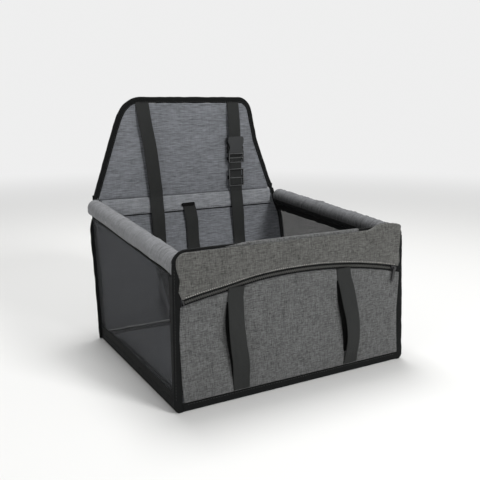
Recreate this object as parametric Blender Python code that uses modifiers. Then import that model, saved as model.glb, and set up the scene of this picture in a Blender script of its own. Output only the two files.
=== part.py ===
"""Foldable dog car seat: a fabric booster basket with a headrest flap.

The frame is metres with +Z up. The origin is on the ground at the middle of the basket's
footprint, +X is to the right of someone facing the zip pocket, and the pocket faces -Y.
The script removes what the scene holds, then builds one named object for each sub-part.
"""
import math

import bmesh
import bpy
import numpy as np
from mathutils import Matrix, Vector

# Clearances and cuts
GAP = 0.0003
OVERRUN = 0.002
MERGE = 0.00001

# Basket body
BASKET_WIDTH = 0.390
BASKET_DEPTH = 0.320
FRONT_HEIGHT = 0.2180
FRONT_LEAN = 0.009
BACK_HEIGHT = 0.2345
BACK_LEAN = 0.0445
SIDE_LEAN = 0.005

# Layers of cloth
OUTER_CLOTH = 0.0015
LINING_CLOTH = 0.0020
COVER_CLOTH = 0.0012
MESH_CLOTH = 0.0012

# Bound seams
SEAM_WIDTH = 0.012
SEAM_THICKNESS = 0.0042
SEAM_PROUD = 0.003
SEAM_ROUNDING = 0.0012
TOP_SEAM_WIDTH = 0.0034
FRONT_CORNER_RADIUS = 0.010
CORNER_FILL_SHARE = 0.94

# Floor
BASE_COVER_THICKNESS = 0.002
BOARD_THICKNESS = 0.003
BOARD_MARGIN = 0.004
PAD_THICKNESS = 0.009
PAD_MARGIN = 0.007
PAD_DRAW_IN = 0.004
PAD_CROWN_SHARE = 0.45

# Padded rails along the sides
RAIL_RADIUS = 0.014
RAIL_BORE_RADIUS = 0.0083
RAIL_TUBE_RADIUS = 0.0080
RAIL_TUBE_WALL = 0.0015
RAIL_END_ROUNDING = 0.007
RAIL_END_WALL = 0.003
RAIL_FRONT_INSET = 0.017
RAIL_BACK_INSET = 0.007
RAIL_FRONT_DROPS = {"left": 0.0235, "right": 0.0170}
RAIL_BACK_DROP = 0.0160
RAIL_FRONT_SPREAD = BASKET_WIDTH / 2 - RAIL_FRONT_INSET
RAIL_BACK_SPREAD = BASKET_WIDTH / 2 - RAIL_BACK_INSET
RAIL_BACK_HEIGHT = BACK_HEIGHT - RAIL_BACK_DROP
PIPING_RADIUS = 0.0015
MESH_TOP_PROUD = 0.0015
MESH_TOP_SPREAD = RAIL_BACK_SPREAD + MESH_TOP_PROUD

# Padded band along the back rim
BAND_HEIGHT = 0.0294
BAND_THICKNESS = 0.0026
BAND_END_MARGIN = 0.0026

# Back wall above the rails' height
BACK_TAPER_DROP = 0.0445
BACK_TOP_INSET = 0.0215
BACK_TAPER_START = BACK_HEIGHT - BACK_TAPER_DROP
BACK_TOP_SPREAD = BASKET_WIDTH / 2 - BACK_TOP_INSET

# Zip pocket
ZIP_PEAK_DROP = 0.048
ZIP_PEAK = FRONT_HEIGHT - ZIP_PEAK_DROP
ZIP_ARC_RADIUS = 0.780
ZIP_REVEAL = 0.009
ZIP_TAPE_WIDTH = 0.0084
ZIP_TAPE_THICKNESS = 0.0009
ZIP_COIL_WIDTH = 0.0032
ZIP_COIL_THICKNESS = 0.0012
ZIP_STOP_LENGTH = 0.002
ZIP_STOP_WIDTH = 0.0062
ZIP_STOP_THICKNESS = 0.0016
SLIDER_LENGTH = 0.009
SLIDER_WIDTH = 0.0080
SLIDER_PLATE = 0.0012
SLIDER_BAIL_RADIUS = 0.0006
SLIDER_BAIL_RUN = 0.0068
SLIDER_BAIL_HEIGHT = 0.0050
SLIDER_BAIL_CORNER = 0.0012
PULLER_WIDTH = 0.0042
PULLER_LENGTH = 0.020
PULLER_THICKNESS = 0.0012
PULLER_EYE_BORE = 0.0010
PULLER_EYE_WALL = 0.0009

# Webbing
WEBBING_WIDTH = 0.0250
WEBBING_THICKNESS = 0.0014

# Webbing loops on the pocket: across, height and clear depth, from the zip down
LOOP_STANDOFF = 0.0080
LOOP_ROUTES = {
    "left": [(-0.1030, 0.1565, 0.0003), (-0.1045, 0.1475, 0.0008), (-0.1070, 0.1320, 0.0048),
             (-0.1085, 0.1120, LOOP_STANDOFF), (-0.1065, 0.0850, LOOP_STANDOFF),
             (-0.1020, 0.0560, 0.0064), (-0.0990, 0.0310, 0.0024), (-0.0975, 0.0150, 0.0003)],
    "right": [(0.0775, 0.1600, 0.0003), (0.0780, 0.1500, 0.0010), (0.0795, 0.1340, 0.0050),
              (0.0820, 0.1120, LOOP_STANDOFF), (0.0880, 0.0850, LOOP_STANDOFF),
              (0.0915, 0.0560, 0.0064), (0.0920, 0.0310, 0.0024), (0.0910, 0.0150, 0.0003)],
}

# Headrest flap
FLAP_FOOT_INSET = 0.0175
FLAP_TAPER = 0.0595
FLAP_FOOT = BASKET_WIDTH / 2 - FLAP_FOOT_INSET
FLAP_TOP = FLAP_FOOT - FLAP_TAPER
FLAP_RISE = 0.1665
FLAP_LEAN = 0.0095
FLAP_RADIUS = 0.0230
FLAP_SEAM_WIDTH = 0.0080
FLAP_FRONT_THICKNESS = 0.0020
FLAP_BOARD_THICKNESS = 0.0015
FLAP_BACK_THICKNESS = 0.0010
FLAP_FACE_MARGIN = 0.0005
FLAP_FOLD_MARGIN = 0.003
FLAP_BOARD_MARGIN = 0.006

# Headrest strap
STRAP_STANDOFF = 0.0060
STRAP_FOLD_REACH = 0.0105
STRAP_TOP_DEPTH = 0.0008
LEFT_STRAP_TOP = -0.0880
LEFT_STRAP_MIDDLE = -0.0790
LEFT_STRAP_FOOT = -0.0710
RIGHT_STRAP_PLACE = 0.0935
LEG_STRAIGHT_FOOT = 0.150
LEG_TWIST_FOOT = 0.105
LEG_TWIST_SHARE = 0.5
LEG_WALL_DEPTH = 0.0010
LOOP_BEND_RADIUS = 0.045
LOOP_FORWARD = 0.006
LOOP_STEPS = 52

# Side-release buckle, measured up the strap from the mouth of the socket half
BUCKLE_MOUTH = 0.0715
SOCKET_LENGTH = 0.0310
SOCKET_WIDTH = 0.0330
SOCKET_WAIST = 0.0265
SOCKET_THICKNESS = 0.0095
SOCKET_CAVITY = 0.0050
SOCKET_CAVITY_LENGTH = 0.0215
SOCKET_SLOT_DEPTH = 0.0060
SOCKET_CORNER = 0.0030
PLUG_LADDER_LENGTH = 0.0175
PLUG_PLATE_THICKNESS = 0.0024
PLUG_SHOULDER = 0.0050
PLUG_BAR = 0.0028
PLUG_CHEEK = 0.0036
TONGUE_LENGTH = 0.0180
TONGUE_WIDTH = 0.0080
TONGUE_THICKNESS = 0.0038
ARM_LENGTH = 0.0195
ARM_STEM = 0.0026
ARM_PLACE = 0.0088
ARM_PAD_REACH = 0.0172
ARM_PAD_START = 0.0050
ARM_PAD_END = 0.0160
ARM_THICKNESS = 0.0044

# Tri-glide slider on the strap
GLIDE_LENGTH = 0.0325
GLIDE_WIDTH = 0.0315
GLIDE_FOOT = 0.0095
GLIDE_BAR = 0.0034
GLIDE_CHEEK = 0.0029
GLIDE_PLATE = 0.0018

# Safety tether, measured up the back wall
TETHER_PLACE = -0.0045
TETHER_TOP_PLACE = -0.0085
TETHER_TOP = 0.2215
TETHER_FOOT = 0.0950
TETHER_AXIS_DEPTH = 0.0150
TETHER_TAIL = 0.0150
EYE_WIDTH = 0.0330
EYE_HEIGHT = 0.0145
EYE_BAR = 0.0028
EYE_CORNER = 0.0040
EYE_THICKNESS = 0.0028
BARREL_RADIUS = 0.0044
BARREL_LENGTH = 0.0070
SWIVEL_BORE_RADIUS = 0.0019
SWIVEL_PIN_RADIUS = 0.0015
SWIVEL_HEAD_RADIUS = 0.0027
SWIVEL_HEAD_HEIGHT = 0.0015
HOOK_COLLAR_RADIUS = 0.0046
HOOK_COLLAR_LENGTH = 0.0070
HOOK_WIRE_RADIUS = 0.0025
HOOK_WIDTH = 0.0200
HOOK_DROP = 0.0330
HOOK_SHOULDER_DROP = 0.0060
HOOK_SHOULDER_SHARE = 0.3
HOOK_NOSE_DROP = 0.0190
GATE_RADIUS = 0.0018
GATE_EAR_THICKNESS = 0.0014
GATE_EAR_HEIGHT = 0.0050
GATE_KNOB_RADIUS = 0.0015
GATE_KNOB_REACH = 0.0045
GATE_KNOB_DROP = 0.0120

# Counts of faces and steps
ROUND_STEPS = 24
SMALL_ROUND_STEPS = 12
CORNER_STEPS = 6
PIPING_STEPS = 9
BAND_STEPS = 20
BAND_FULL_SHARE = 0.7

# Colours
HEATHER = (0.135, 0.130, 0.126, 1.0)
SLATE = (0.175, 0.185, 0.195, 1.0)
RAIL_GREY = (0.270, 0.280, 0.290, 1.0)
BLACK_TAPE = (0.014, 0.017, 0.017, 1.0)
WEBBING_BLACK = (0.028, 0.030, 0.030, 1.0)
SMOKE = (0.045, 0.048, 0.052, 1.0)
PLASTIC_BLACK = (0.020, 0.022, 0.023, 1.0)
PIPE_WHITE = (0.720, 0.720, 0.700, 1.0)
BOARD_GREY = (0.160, 0.160, 0.160, 1.0)
STEEL = (0.560, 0.570, 0.580, 1.0)

PARTS = "dog_car_seat"
CUTTERS = "cutters"


def unit(vector):
    """The same direction with length one."""
    array = np.asarray(vector, float)
    return array / np.linalg.norm(array)


class PanelFrame:
    """Axes of one flat panel: across it, up it and out of its face."""

    def __init__(self, origin, across, up):
        self.origin = np.asarray(origin, float)
        self.across = unit(across)
        self.up = unit(up)
        self.out = np.cross(self.across, self.up)

    def place(self, across, up, out):
        """World points for arrays of distances along the three axes."""
        across, up, out = np.broadcast_arrays(across, up, out)
        return (self.origin + across[..., None] * self.across + up[..., None] * self.up
                + out[..., None] * self.out)

    def matrix(self, across=0.0, up=0.0, out=0.0):
        """A transform whose X, Y and Z run across, up and out, at one point of the panel."""
        rotation = Matrix((self.across, self.up, self.out)).transposed().to_4x4()
        return Matrix.Translation(Vector(self.place(across, up, out))) @ rotation


FRONT = PanelFrame((0, -BASKET_DEPTH / 2, 0), (1, 0, 0), (0, FRONT_LEAN, FRONT_HEIGHT))
BACK = PanelFrame((0, BASKET_DEPTH / 2, 0), (1, 0, 0), (0, BACK_LEAN, BACK_HEIGHT))
BACK_RISE = math.hypot(BACK_LEAN, BACK_HEIGHT)
FOLD = BACK.place(0, BACK_RISE, 0)
FLAP = PanelFrame(FOLD, (1, 0, 0), (0, FLAP_LEAN, FLAP_RISE))


def finish(name, colour, roughness, metallic=0.0):
    """A Principled BSDF material with one colour."""
    material = bpy.data.materials.new(name)
    material.use_nodes = True
    shader = material.node_tree.nodes["Principled BSDF"]
    shader.inputs["Base Color"].default_value = colour
    shader.inputs["Roughness"].default_value = roughness
    shader.inputs["Metallic"].default_value = metallic
    material.diffuse_color = colour
    return material


def add_object(name, data, material, collection=PARTS):
    """Link new data to a collection under a name."""
    piece = bpy.data.objects.new(name, data)
    bpy.data.collections[collection].objects.link(piece)
    if material is not None:
        data.materials.append(material)
    if collection == CUTTERS:
        piece.hide_render = True
        piece.display_type = "WIRE"
    return piece


def sheet(name, material, surface, columns, rows, thickness, offset=-1.0):
    """Cloth slab: a flat grid laid on a surface of two shares, then thickened."""
    mesh = bpy.data.meshes.new(name)
    grid = bmesh.new()
    bmesh.ops.create_grid(grid, x_segments=columns, y_segments=rows, size=0.5)
    flat = np.array([vertex.co[:2] for vertex in grid.verts]) + 0.5
    for vertex, point in zip(grid.verts, surface(flat[:, 0], flat[:, 1])):
        vertex.co = point
    grid.to_mesh(mesh)
    grid.free()
    piece = add_object(name, mesh, material)
    wall = piece.modifiers.new("cloth", "SOLIDIFY")
    wall.thickness = thickness
    wall.offset = offset
    wall.use_even_offset = True
    return piece


def smooth_route(points, count):
    """Even points along a smooth curve through the given ones."""
    points = np.asarray(points, float)
    knots = np.concatenate([[0], np.cumsum(np.linalg.norm(np.diff(points, axis=0), axis=1))])
    slopes = np.gradient(points, knots, axis=0)
    fine = np.linspace(0, knots[-1], 16 * count)
    span = np.clip(np.searchsorted(knots, fine, side="right") - 1, 0, len(knots) - 2)
    length = (knots[span + 1] - knots[span])[:, None]
    share = (fine - knots[span])[:, None] / length
    curve = ((2 * share**3 - 3 * share**2 + 1) * points[span]
             + (share**3 - 2 * share**2 + share) * length * slopes[span]
             + (3 * share**2 - 2 * share**3) * points[span + 1]
             + (share**3 - share**2) * length * slopes[span + 1])
    along = np.concatenate([[0], np.cumsum(np.linalg.norm(np.diff(curve, axis=0), axis=1))])
    wanted = np.linspace(0, along[-1], count)
    return np.stack([np.interp(wanted, along, curve[:, axis]) for axis in range(3)], axis=1)


def ribbon(name, material, centre, side, width=WEBBING_WIDTH, thickness=WEBBING_THICKNESS):
    """Webbing: a flat strip whose middle runs through the centre points."""
    centre = np.asarray(centre, float)
    side = np.broadcast_to(np.asarray(side, float), centre.shape)
    last = len(centre) - 1

    def surface(across, along):
        index = np.rint(along * last).astype(int)
        return centre[index] + (across - 0.5)[:, None] * width * side[index]

    return sheet(name, material, surface, 1, last, thickness, offset=0.0)


def plate(name, material, loops, thickness, matrix, collection=PARTS):
    """Flat outline, with holes, centred on the X and Y plane of a transform."""
    curve = bpy.data.curves.new(name, "CURVE")
    curve.dimensions = "2D"
    curve.fill_mode = "BOTH"
    curve.extrude = thickness / 2
    for loop in loops:
        spline = curve.splines.new("POLY")
        spline.points.add(len(loop) - 1)
        for point, place in zip(spline.points, loop):
            point.co = (place[0], place[1], 0, 1)
        spline.use_cyclic_u = True
    piece = add_object(name, curve, material, collection)
    piece.matrix_world = matrix
    return piece


def tube(name, material, points, radius, resolution=2, collection=PARTS):
    """Round bar along a row of points, with filled ends."""
    curve = bpy.data.curves.new(name, "CURVE")
    curve.dimensions = "3D"
    curve.bevel_depth = radius
    curve.bevel_resolution = resolution
    curve.use_fill_caps = True
    spline = curve.splines.new("POLY")
    spline.points.add(len(points) - 1)
    for point, place in zip(spline.points, points):
        point.co = (*place, 1)
    return add_object(name, curve, material, collection)


def box(name, material, size, matrix, rounding=0.0, collection=PARTS):
    """Block centred on a transform, with rounded edges where a rounding is given."""
    mesh = bpy.data.meshes.new(name)
    block = bmesh.new()
    bmesh.ops.create_cube(block, size=1, matrix=Matrix.Diagonal((*size, 1)))
    block.to_mesh(mesh)
    block.free()
    piece = add_object(name, mesh, material, collection)
    piece.matrix_world = matrix
    if rounding:
        bevel = piece.modifiers.new("rounding", "BEVEL")
        bevel.width = rounding
        bevel.segments = 2
    return piece


def turned(name, material, profile, matrix, closed, steps=ROUND_STEPS):
    """Body of revolution about Z from points of radius and height."""
    mesh = bpy.data.meshes.new(name)
    count = len(profile)
    edges = [(index, index + 1) for index in range(count - 1)]
    if closed:
        edges.append((count - 1, 0))
    mesh.from_pydata([(radius, 0, height) for radius, height in profile], edges, [])
    piece = add_object(name, mesh, material)
    piece.matrix_world = matrix
    screw = piece.modifiers.new("turning", "SCREW")
    screw.steps = steps
    screw.render_steps = steps
    screw.use_merge_vertices = True
    screw.merge_threshold = MERGE
    return piece


def cylinder(name, material, radius, length, matrix, collection=PARTS, steps=ROUND_STEPS):
    """Round bar centred on a transform, along its Z."""
    mesh = bpy.data.meshes.new(name)
    bar = bmesh.new()
    bmesh.ops.create_cone(bar, cap_ends=True, segments=steps, radius1=radius, radius2=radius,
                          depth=length)
    bar.to_mesh(mesh)
    bar.free()
    piece = add_object(name, mesh, material, collection)
    piece.matrix_world = matrix
    return piece


def as_mesh(piece):
    """The same curve object as a welded mesh that can take a Boolean."""
    bpy.context.view_layer.update()
    graph = bpy.context.evaluated_depsgraph_get()
    mesh = bpy.data.meshes.new_from_object(piece.evaluated_get(graph))
    weld = bmesh.new()
    weld.from_mesh(mesh)
    bmesh.ops.remove_doubles(weld, verts=weld.verts, dist=MERGE)
    weld.to_mesh(mesh)
    weld.free()
    name = piece.name
    collection = piece.users_collection[0]
    matrix = piece.matrix_world.copy()
    hidden = piece.hide_render
    bpy.data.objects.remove(piece)
    solid = bpy.data.objects.new(name, mesh)
    solid.name = name
    collection.objects.link(solid)
    solid.matrix_world = matrix
    solid.hide_render = hidden
    solid.display_type = "WIRE" if hidden else "TEXTURED"
    return solid


def combine(piece, operation, *others):
    """Cut other solids from a piece, or fuse them to it."""
    for other in others:
        step = piece.modifiers.new(other.name, "BOOLEAN")
        step.operation = operation
        step.object = other
    return piece


def carry(name, point, pieces, parent=None):
    """Put moving pieces on an empty that stands on their joint's axis."""
    axis = bpy.data.objects.new(name, None)
    bpy.data.collections[PARTS].objects.link(axis)
    axis.location = Vector(point)
    if parent is not None:
        axis.parent = parent
    bpy.context.view_layer.update()
    if parent is not None:
        axis.matrix_parent_inverse = parent.matrix_world.inverted()
        bpy.context.view_layer.update()
    for piece in pieces:
        piece.parent = axis
        piece.matrix_parent_inverse = axis.matrix_world.inverted()
    return axis


def rectangle(width, height, radius=0.0, centre=(0.0, 0.0), steps=CORNER_STEPS):
    """Outline of a rectangle with rounded corners."""
    half_width = width / 2 - radius
    half_height = height / 2 - radius
    turns = np.linspace(0, math.pi / 2, steps if radius else 1)
    points = []
    for quarter, (side, end) in enumerate(((1, 1), (-1, 1), (-1, -1), (1, -1))):
        for turn in turns + quarter * math.pi / 2:
            points.append((centre[0] + side * half_width + radius * math.cos(turn),
                           centre[1] + end * half_height + radius * math.sin(turn)))
    return points


class RoundedTop:
    """Panel outline with slanted sides and two rounded top corners."""

    def __init__(self, foot, top, height, radius):
        self.foot = foot
        self.height = height
        self.radius = radius
        self.normal = unit((height, foot - top))
        self.corner_across = top - radius * (1 - self.normal[1]) / self.normal[0]
        self.corner_up = height - radius

    def half_width(self, up):
        """Half of the panel's width at each height."""
        along_side = self.foot - up * self.normal[1] / self.normal[0]
        above = np.clip(up - self.corner_up, -self.radius, self.radius)
        round_part = self.corner_across + np.sqrt(self.radius**2 - above**2)
        return np.where(up > self.corner_up + self.radius * self.normal[1], round_part, along_side)

    def edge(self, start, side_steps, top_steps):
        """Points and outward directions along the edge, from the left foot to the right."""
        lowest_turn = math.atan2(self.normal[1], self.normal[0])
        turns = np.linspace(lowest_turn, math.pi / 2, CORNER_STEPS + 1)
        arc = np.stack([self.corner_across + self.radius * np.cos(turns),
                        self.corner_up + self.radius * np.sin(turns)], axis=1)
        arc_normals = np.stack([np.cos(turns), np.sin(turns)], axis=1)
        heights = np.linspace(start, arc[0, 1], side_steps, endpoint=False)
        side = np.stack([self.half_width(heights), heights], axis=1)
        side_normals = np.broadcast_to(self.normal, side.shape)
        across = np.linspace(arc[-1, 0], -arc[-1, 0], top_steps + 1)[1:-1]
        top = np.stack([across, np.full_like(across, self.height)], axis=1)
        top_normals = np.broadcast_to(np.array([0.0, 1.0]), top.shape)
        right = np.concatenate([side, arc])
        right_normals = np.concatenate([side_normals, arc_normals])
        mirror = np.array([-1.0, 1.0])
        points = np.concatenate([right, top, right[::-1] * mirror])[::-1]
        normals = np.concatenate([right_normals, top_normals, right_normals[::-1] * mirror])[::-1]
        return points, normals


def seam_tape(name, material, frame, outline, start, widths, face, thickness):
    """Binding round an outline, with one width at its sides and another along its top."""
    points, normals = outline.edge(start, 2, 8)
    width = widths[0] + (widths[1] - widths[0]) * np.clip(normals[:, 1:], 0, 1)
    inner = points + normals * GAP
    outer = points + normals * width
    last = len(points) - 1

    def surface(along, outwards):
        index = np.rint(along * last).astype(int)
        place = inner[index] * (1 - outwards)[:, None] + outer[index] * outwards[:, None]
        return frame.place(place[:, 0], place[:, 1], face)

    return sheet(name, material, surface, last, 1, thickness)


def zip_height(across):
    """Height of the zip's middle line, an arc that peaks at the panel's middle."""
    return ZIP_PEAK - ZIP_ARC_RADIUS + np.sqrt(ZIP_ARC_RADIUS**2 - np.asarray(across, float)**2)


def panel_foot():
    """Half width of the front and back panels between their corner bindings, at the foot."""
    return BASKET_WIDTH / 2 + SEAM_PROUD - SEAM_WIDTH


def front_outline():
    """Outline of the front panel inside its binding."""
    rise = math.hypot(FRONT_LEAN, FRONT_HEIGHT) - TOP_SEAM_WIDTH
    return RoundedTop(panel_foot(), panel_foot() - SIDE_LEAN, rise, FRONT_CORNER_RADIUS)


def ease_ends(share):
    """Shares that crowd towards both ends."""
    return 0.5 - 0.5 * np.cos(np.pi * share)


def build_floor(cloth, board, tape):
    """Base cover, stiff board, floor pad and the binding round the foot."""
    seam_inner = SEAM_THICKNESS + GAP
    half_width = BASKET_WIDTH / 2 + SEAM_PROUD - SEAM_WIDTH / 2 - SEAM_THICKNESS / 2 - GAP
    half_depth = BASKET_DEPTH / 2 - seam_inner
    box("base_cover", cloth, (2 * half_width, 2 * half_depth, BASE_COVER_THICKNESS),
        Matrix.Translation((0, 0, BASE_COVER_THICKNESS / 2)))
    board_foot = BASE_COVER_THICKNESS + GAP
    outline = rectangle(2 * (half_width - BOARD_MARGIN), 2 * (half_depth - BOARD_MARGIN),
                        2 * BOARD_MARGIN)
    plate("base_board", board, [outline], BOARD_THICKNESS,
          Matrix.Translation((0, 0, board_foot + BOARD_THICKNESS / 2)))
    pad_foot = board_foot + BOARD_THICKNESS + GAP
    build_pad(cloth, half_width - PAD_MARGIN, half_depth - PAD_MARGIN, pad_foot)
    seam = (2 * panel_foot() - 2 * GAP, SEAM_WIDTH, SEAM_THICKNESS)
    for name, frame, depth in (("front", FRONT, GAP - SEAM_THICKNESS / 2),
                               ("back", BACK, GAP - SEAM_THICKNESS / 2)):
        place = frame.matrix(0, SEAM_WIDTH / 2 + OVERRUN / 2, depth)
        box("base_binding_" + name, tape, (seam[0], SEAM_WIDTH - OVERRUN, SEAM_THICKNESS), place,
            SEAM_ROUNDING)
    length = BASKET_DEPTH - 2 * SEAM_THICKNESS - 4 * GAP
    for name, side in (("left", -1), ("right", 1)):
        across = side * (half_width + GAP + SEAM_THICKNESS / 2)
        box("base_binding_" + name, tape, (SEAM_THICKNESS, length, SEAM_WIDTH),
            Matrix.Translation((across, 0, SEAM_WIDTH / 2)), SEAM_ROUNDING)


def build_pad(cloth, half_width, half_depth, foot):
    """Thin floor cushion with a crown and sides drawn in between its corners."""
    mesh = bpy.data.meshes.new("floor_pad")
    form = bmesh.new()
    bmesh.ops.create_cube(form, size=1)
    bmesh.ops.subdivide_edges(form, edges=form.edges, cuts=9, use_grid_fill=True)
    for vertex in form.verts:
        across, along, up = vertex.co * 2
        drawn = PAD_DRAW_IN * (1 - along * along), PAD_DRAW_IN * (1 - across * across)
        fullness = (1 - across**6) * (1 - along**6)
        height = PAD_THICKNESS * (1 - PAD_CROWN_SHARE * (1 - fullness))
        vertex.co = (across * (half_width - drawn[0]), along * (half_depth - drawn[1]),
                     foot + height * (up + 1) / 2)
    form.to_mesh(mesh)
    form.free()
    return add_object("floor_pad", mesh, cloth)


def build_front(cloth, lining, tape, zip_black, metal):
    """Front wall: padded upper panel, zip pocket, lining and bindings."""
    outline = front_outline()
    reveal = ZIP_REVEAL / 2

    def top_edge(place):
        over = np.clip(np.abs(place) - outline.corner_across, 0, outline.radius)
        return outline.corner_up + np.sqrt(outline.radius**2 - over**2)

    def upper(across, up):
        shares = 2 * ease_ends(across) - 1
        place = shares * (outline.half_width(zip_height(0)) * (1 - up)
                          + (outline.corner_across + outline.radius * CORNER_FILL_SHARE) * up)
        low = zip_height(place) + reveal
        return FRONT.place(place, low + (top_edge(place) - low) * up, 0)

    def pocket(across, up):
        shares = 2 * across - 1
        low = SEAM_WIDTH + 2 * GAP
        place = shares * outline.half_width(low + (zip_height(0) - low) * up)
        return FRONT.place(place, low + (zip_height(place) - reveal - low) * up, 0)

    def inner(across, up):
        shares = 2 * ease_ends(across) - 1
        low = SEAM_WIDTH + 2 * GAP
        place = shares * (outline.half_width(low) * (1 - up)
                          + (outline.corner_across + outline.radius * CORNER_FILL_SHARE) * up)
        return FRONT.place(place, low + (top_edge(place) - low) * up, -OUTER_CLOTH - GAP)

    sheet("front_upper_panel", cloth, upper, 24, 4, OUTER_CLOTH)
    sheet("front_pocket_panel", cloth, pocket, 24, 4, OUTER_CLOTH)
    sheet("front_lining", lining, inner, 24, 4, LINING_CLOTH)
    start = outline.corner_up - SEAM_THICKNESS
    seam_tape("front_top_binding", tape, FRONT, outline, start + GAP,
              (SEAM_WIDTH, TOP_SEAM_WIDTH), GAP, SEAM_THICKNESS)
    build_zip(zip_black, metal, outline)
    return start



def build_zip(zip_black, metal, outline):
    """Zip tape, coil, end stops, slider and puller along the arc."""
    reach = float(outline.half_width(zip_height(0))) - GAP

    def strip(width, face, half_length):
        def surface(across, up):
            place = (2 * across - 1) * half_length
            return FRONT.place(place, zip_height(place) + (up - 0.5) * width, face)
        return surface

    tape_face = -GAP
    coil_face = tape_face + GAP + ZIP_COIL_THICKNESS
    sheet("zip_tape", zip_black, strip(ZIP_TAPE_WIDTH, tape_face, reach), 24, 1,
          ZIP_TAPE_THICKNESS)
    coil_reach = reach - ZIP_STOP_LENGTH - 2 * GAP
    sheet("zip_coil", zip_black, strip(ZIP_COIL_WIDTH, coil_face, coil_reach), 24, 1,
          ZIP_COIL_THICKNESS)
    for name, side in (("left", -1), ("right", 1)):
        place = side * (reach - ZIP_STOP_LENGTH / 2 - GAP)
        box("zip_stop_" + name, metal, (ZIP_STOP_LENGTH, ZIP_STOP_WIDTH, ZIP_STOP_THICKNESS),
            zip_matrix(place, tape_face + GAP + ZIP_STOP_THICKNESS / 2), GAP)
    slider_place = coil_reach - SLIDER_LENGTH / 2 - GAP
    slider = build_slider(metal, slider_place, coil_face)
    puller = build_puller(metal, slider_place)
    centre = FRONT.place(0, ZIP_PEAK - ZIP_ARC_RADIUS, 0)
    slider_axis = carry("zip_slide_axis", centre, [slider])
    bail = zip_matrix(slider_place, SLIDER_BAIL_HEIGHT).translation
    carry("zip_puller_axis", bail, [puller], slider_axis)


def zip_matrix(across, out, turn=0.0):
    """Transform on the zip line: X along the zip, Y up the panel, Z out of it."""
    lean = math.asin(across / ZIP_ARC_RADIUS) + turn
    return FRONT.matrix(across, float(zip_height(across)), out) @ Matrix.Rotation(-lean, 4, "Z")


def build_slider(metal, place, coil_face):
    """Slider: a plate with two flanges over the coil and a bail on top."""
    plate_foot = coil_face + GAP
    size = (SLIDER_LENGTH, SLIDER_WIDTH, SLIDER_PLATE)
    slider = box("zip_slider", metal, size, zip_matrix(place, plate_foot + SLIDER_PLATE / 2))
    flange = (SLIDER_WIDTH - ZIP_COIL_WIDTH) / 2 - GAP
    flange_foot = GAP
    flange_size = (SLIDER_LENGTH, flange, plate_foot + SLIDER_PLATE - flange_foot)
    shift = Matrix.Translation((0, SLIDER_WIDTH / 2 - flange / 2, 0))
    base = zip_matrix(place, flange_foot + flange_size[2] / 2)
    upper = box("zip_flange_upper", None, flange_size, base @ shift, collection=CUTTERS)
    lower = box("zip_flange_lower", None, flange_size, base @ shift.inverted(), collection=CUTTERS)
    half_run = SLIDER_BAIL_RUN / 2
    rise = SLIDER_BAIL_HEIGHT - plate_foot - SLIDER_PLATE / 2
    corner = SLIDER_BAIL_CORNER
    bail_points = [(-half_run, 0, 0), (-half_run, 0, rise - corner), (-half_run + corner, 0, rise),
                   (half_run - corner, 0, rise), (half_run, 0, rise - corner), (half_run, 0, 0)]
    bail = tube("zip_bail", None, bail_points, SLIDER_BAIL_RADIUS, 1, CUTTERS)
    bail.matrix_world = zip_matrix(place, plate_foot + SLIDER_PLATE / 2)
    return combine(slider, "UNION", upper, lower, as_mesh(bail))


def build_puller(metal, place):
    """Puller: a tongue whose top end is rolled round the bail."""
    outer = PULLER_EYE_BORE + PULLER_EYE_WALL
    half = PULLER_THICKNESS / 2
    start = math.asin(half / outer)
    turns = np.linspace(-math.pi / 2 + start, 3 * math.pi / 2 - start, SMALL_ROUND_STEPS + 4)
    ring = [(outer * math.cos(turn), outer * math.sin(turn)) for turn in turns]
    outline = ring + [(-half, -PULLER_LENGTH), (half, -PULLER_LENGTH)]
    bore = [(PULLER_EYE_BORE * math.cos(turn), PULLER_EYE_BORE * math.sin(turn))
            for turn in np.linspace(0, 2 * math.pi, SMALL_ROUND_STEPS, endpoint=False)]
    turn_side = Matrix.Rotation(math.pi / 2, 4, "Y")
    matrix = zip_matrix(place, SLIDER_BAIL_HEIGHT) @ turn_side
    return plate("zip_puller", metal, [outline, bore], PULLER_WIDTH, matrix)


def build_pocket_loops(webbing):
    """Two loose webbing loops in front of the pocket."""
    for name, route in LOOP_ROUTES.items():
        centre = smooth_route([(across, up, clear + WEBBING_THICKNESS / 2)
                               for across, up, clear in route], 22)
        ribbon("pocket_loop_" + name, webbing,
               FRONT.place(centre[:, 0], centre[:, 1], centre[:, 2]), FRONT.across)


def back_half_width(height):
    """Half width of the back wall inside its bindings, at distances up the wall."""
    slanted = panel_foot() - SIDE_LEAN / FRONT_HEIGHT * np.asarray(height, float)
    taper_foot = panel_foot() - SIDE_LEAN / FRONT_HEIGHT * BACK_TAPER_START
    share = np.clip((height - BACK_TAPER_START) / (BACK_RISE - BACK_TAPER_START), 0, 1)
    return np.where(share > 0, taper_foot + (BACK_TOP_SPREAD - taper_foot) * share**1.2, slanted)


def front_half_width(height):
    """Half width of the front wall inside its bindings, at distances up the wall."""
    return front_outline().half_width(np.asarray(height, float))


def build_corners(tape, front_top):
    """Bound seams up the four corners."""
    walls = (("front", FRONT, front_half_width, front_top, 4),
             ("back", BACK, back_half_width, BACK_RISE - GAP, 16))
    for label, frame, half_width, top, rows in walls:
        for name, side in (("left", -1), ("right", 1)):

            def surface(across, up):
                shares = across if side > 0 else 1 - across
                foot = SEAM_THICKNESS * frame.out[2] / frame.up[2]
                height = foot + (top - foot) * up
                place = side * (half_width(height) + GAP + (SEAM_WIDTH - GAP) * shares)
                return frame.place(place, height, GAP)

            sheet(f"corner_binding_{label}_{name}", tape, surface, 1, rows, SEAM_THICKNESS)


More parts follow.
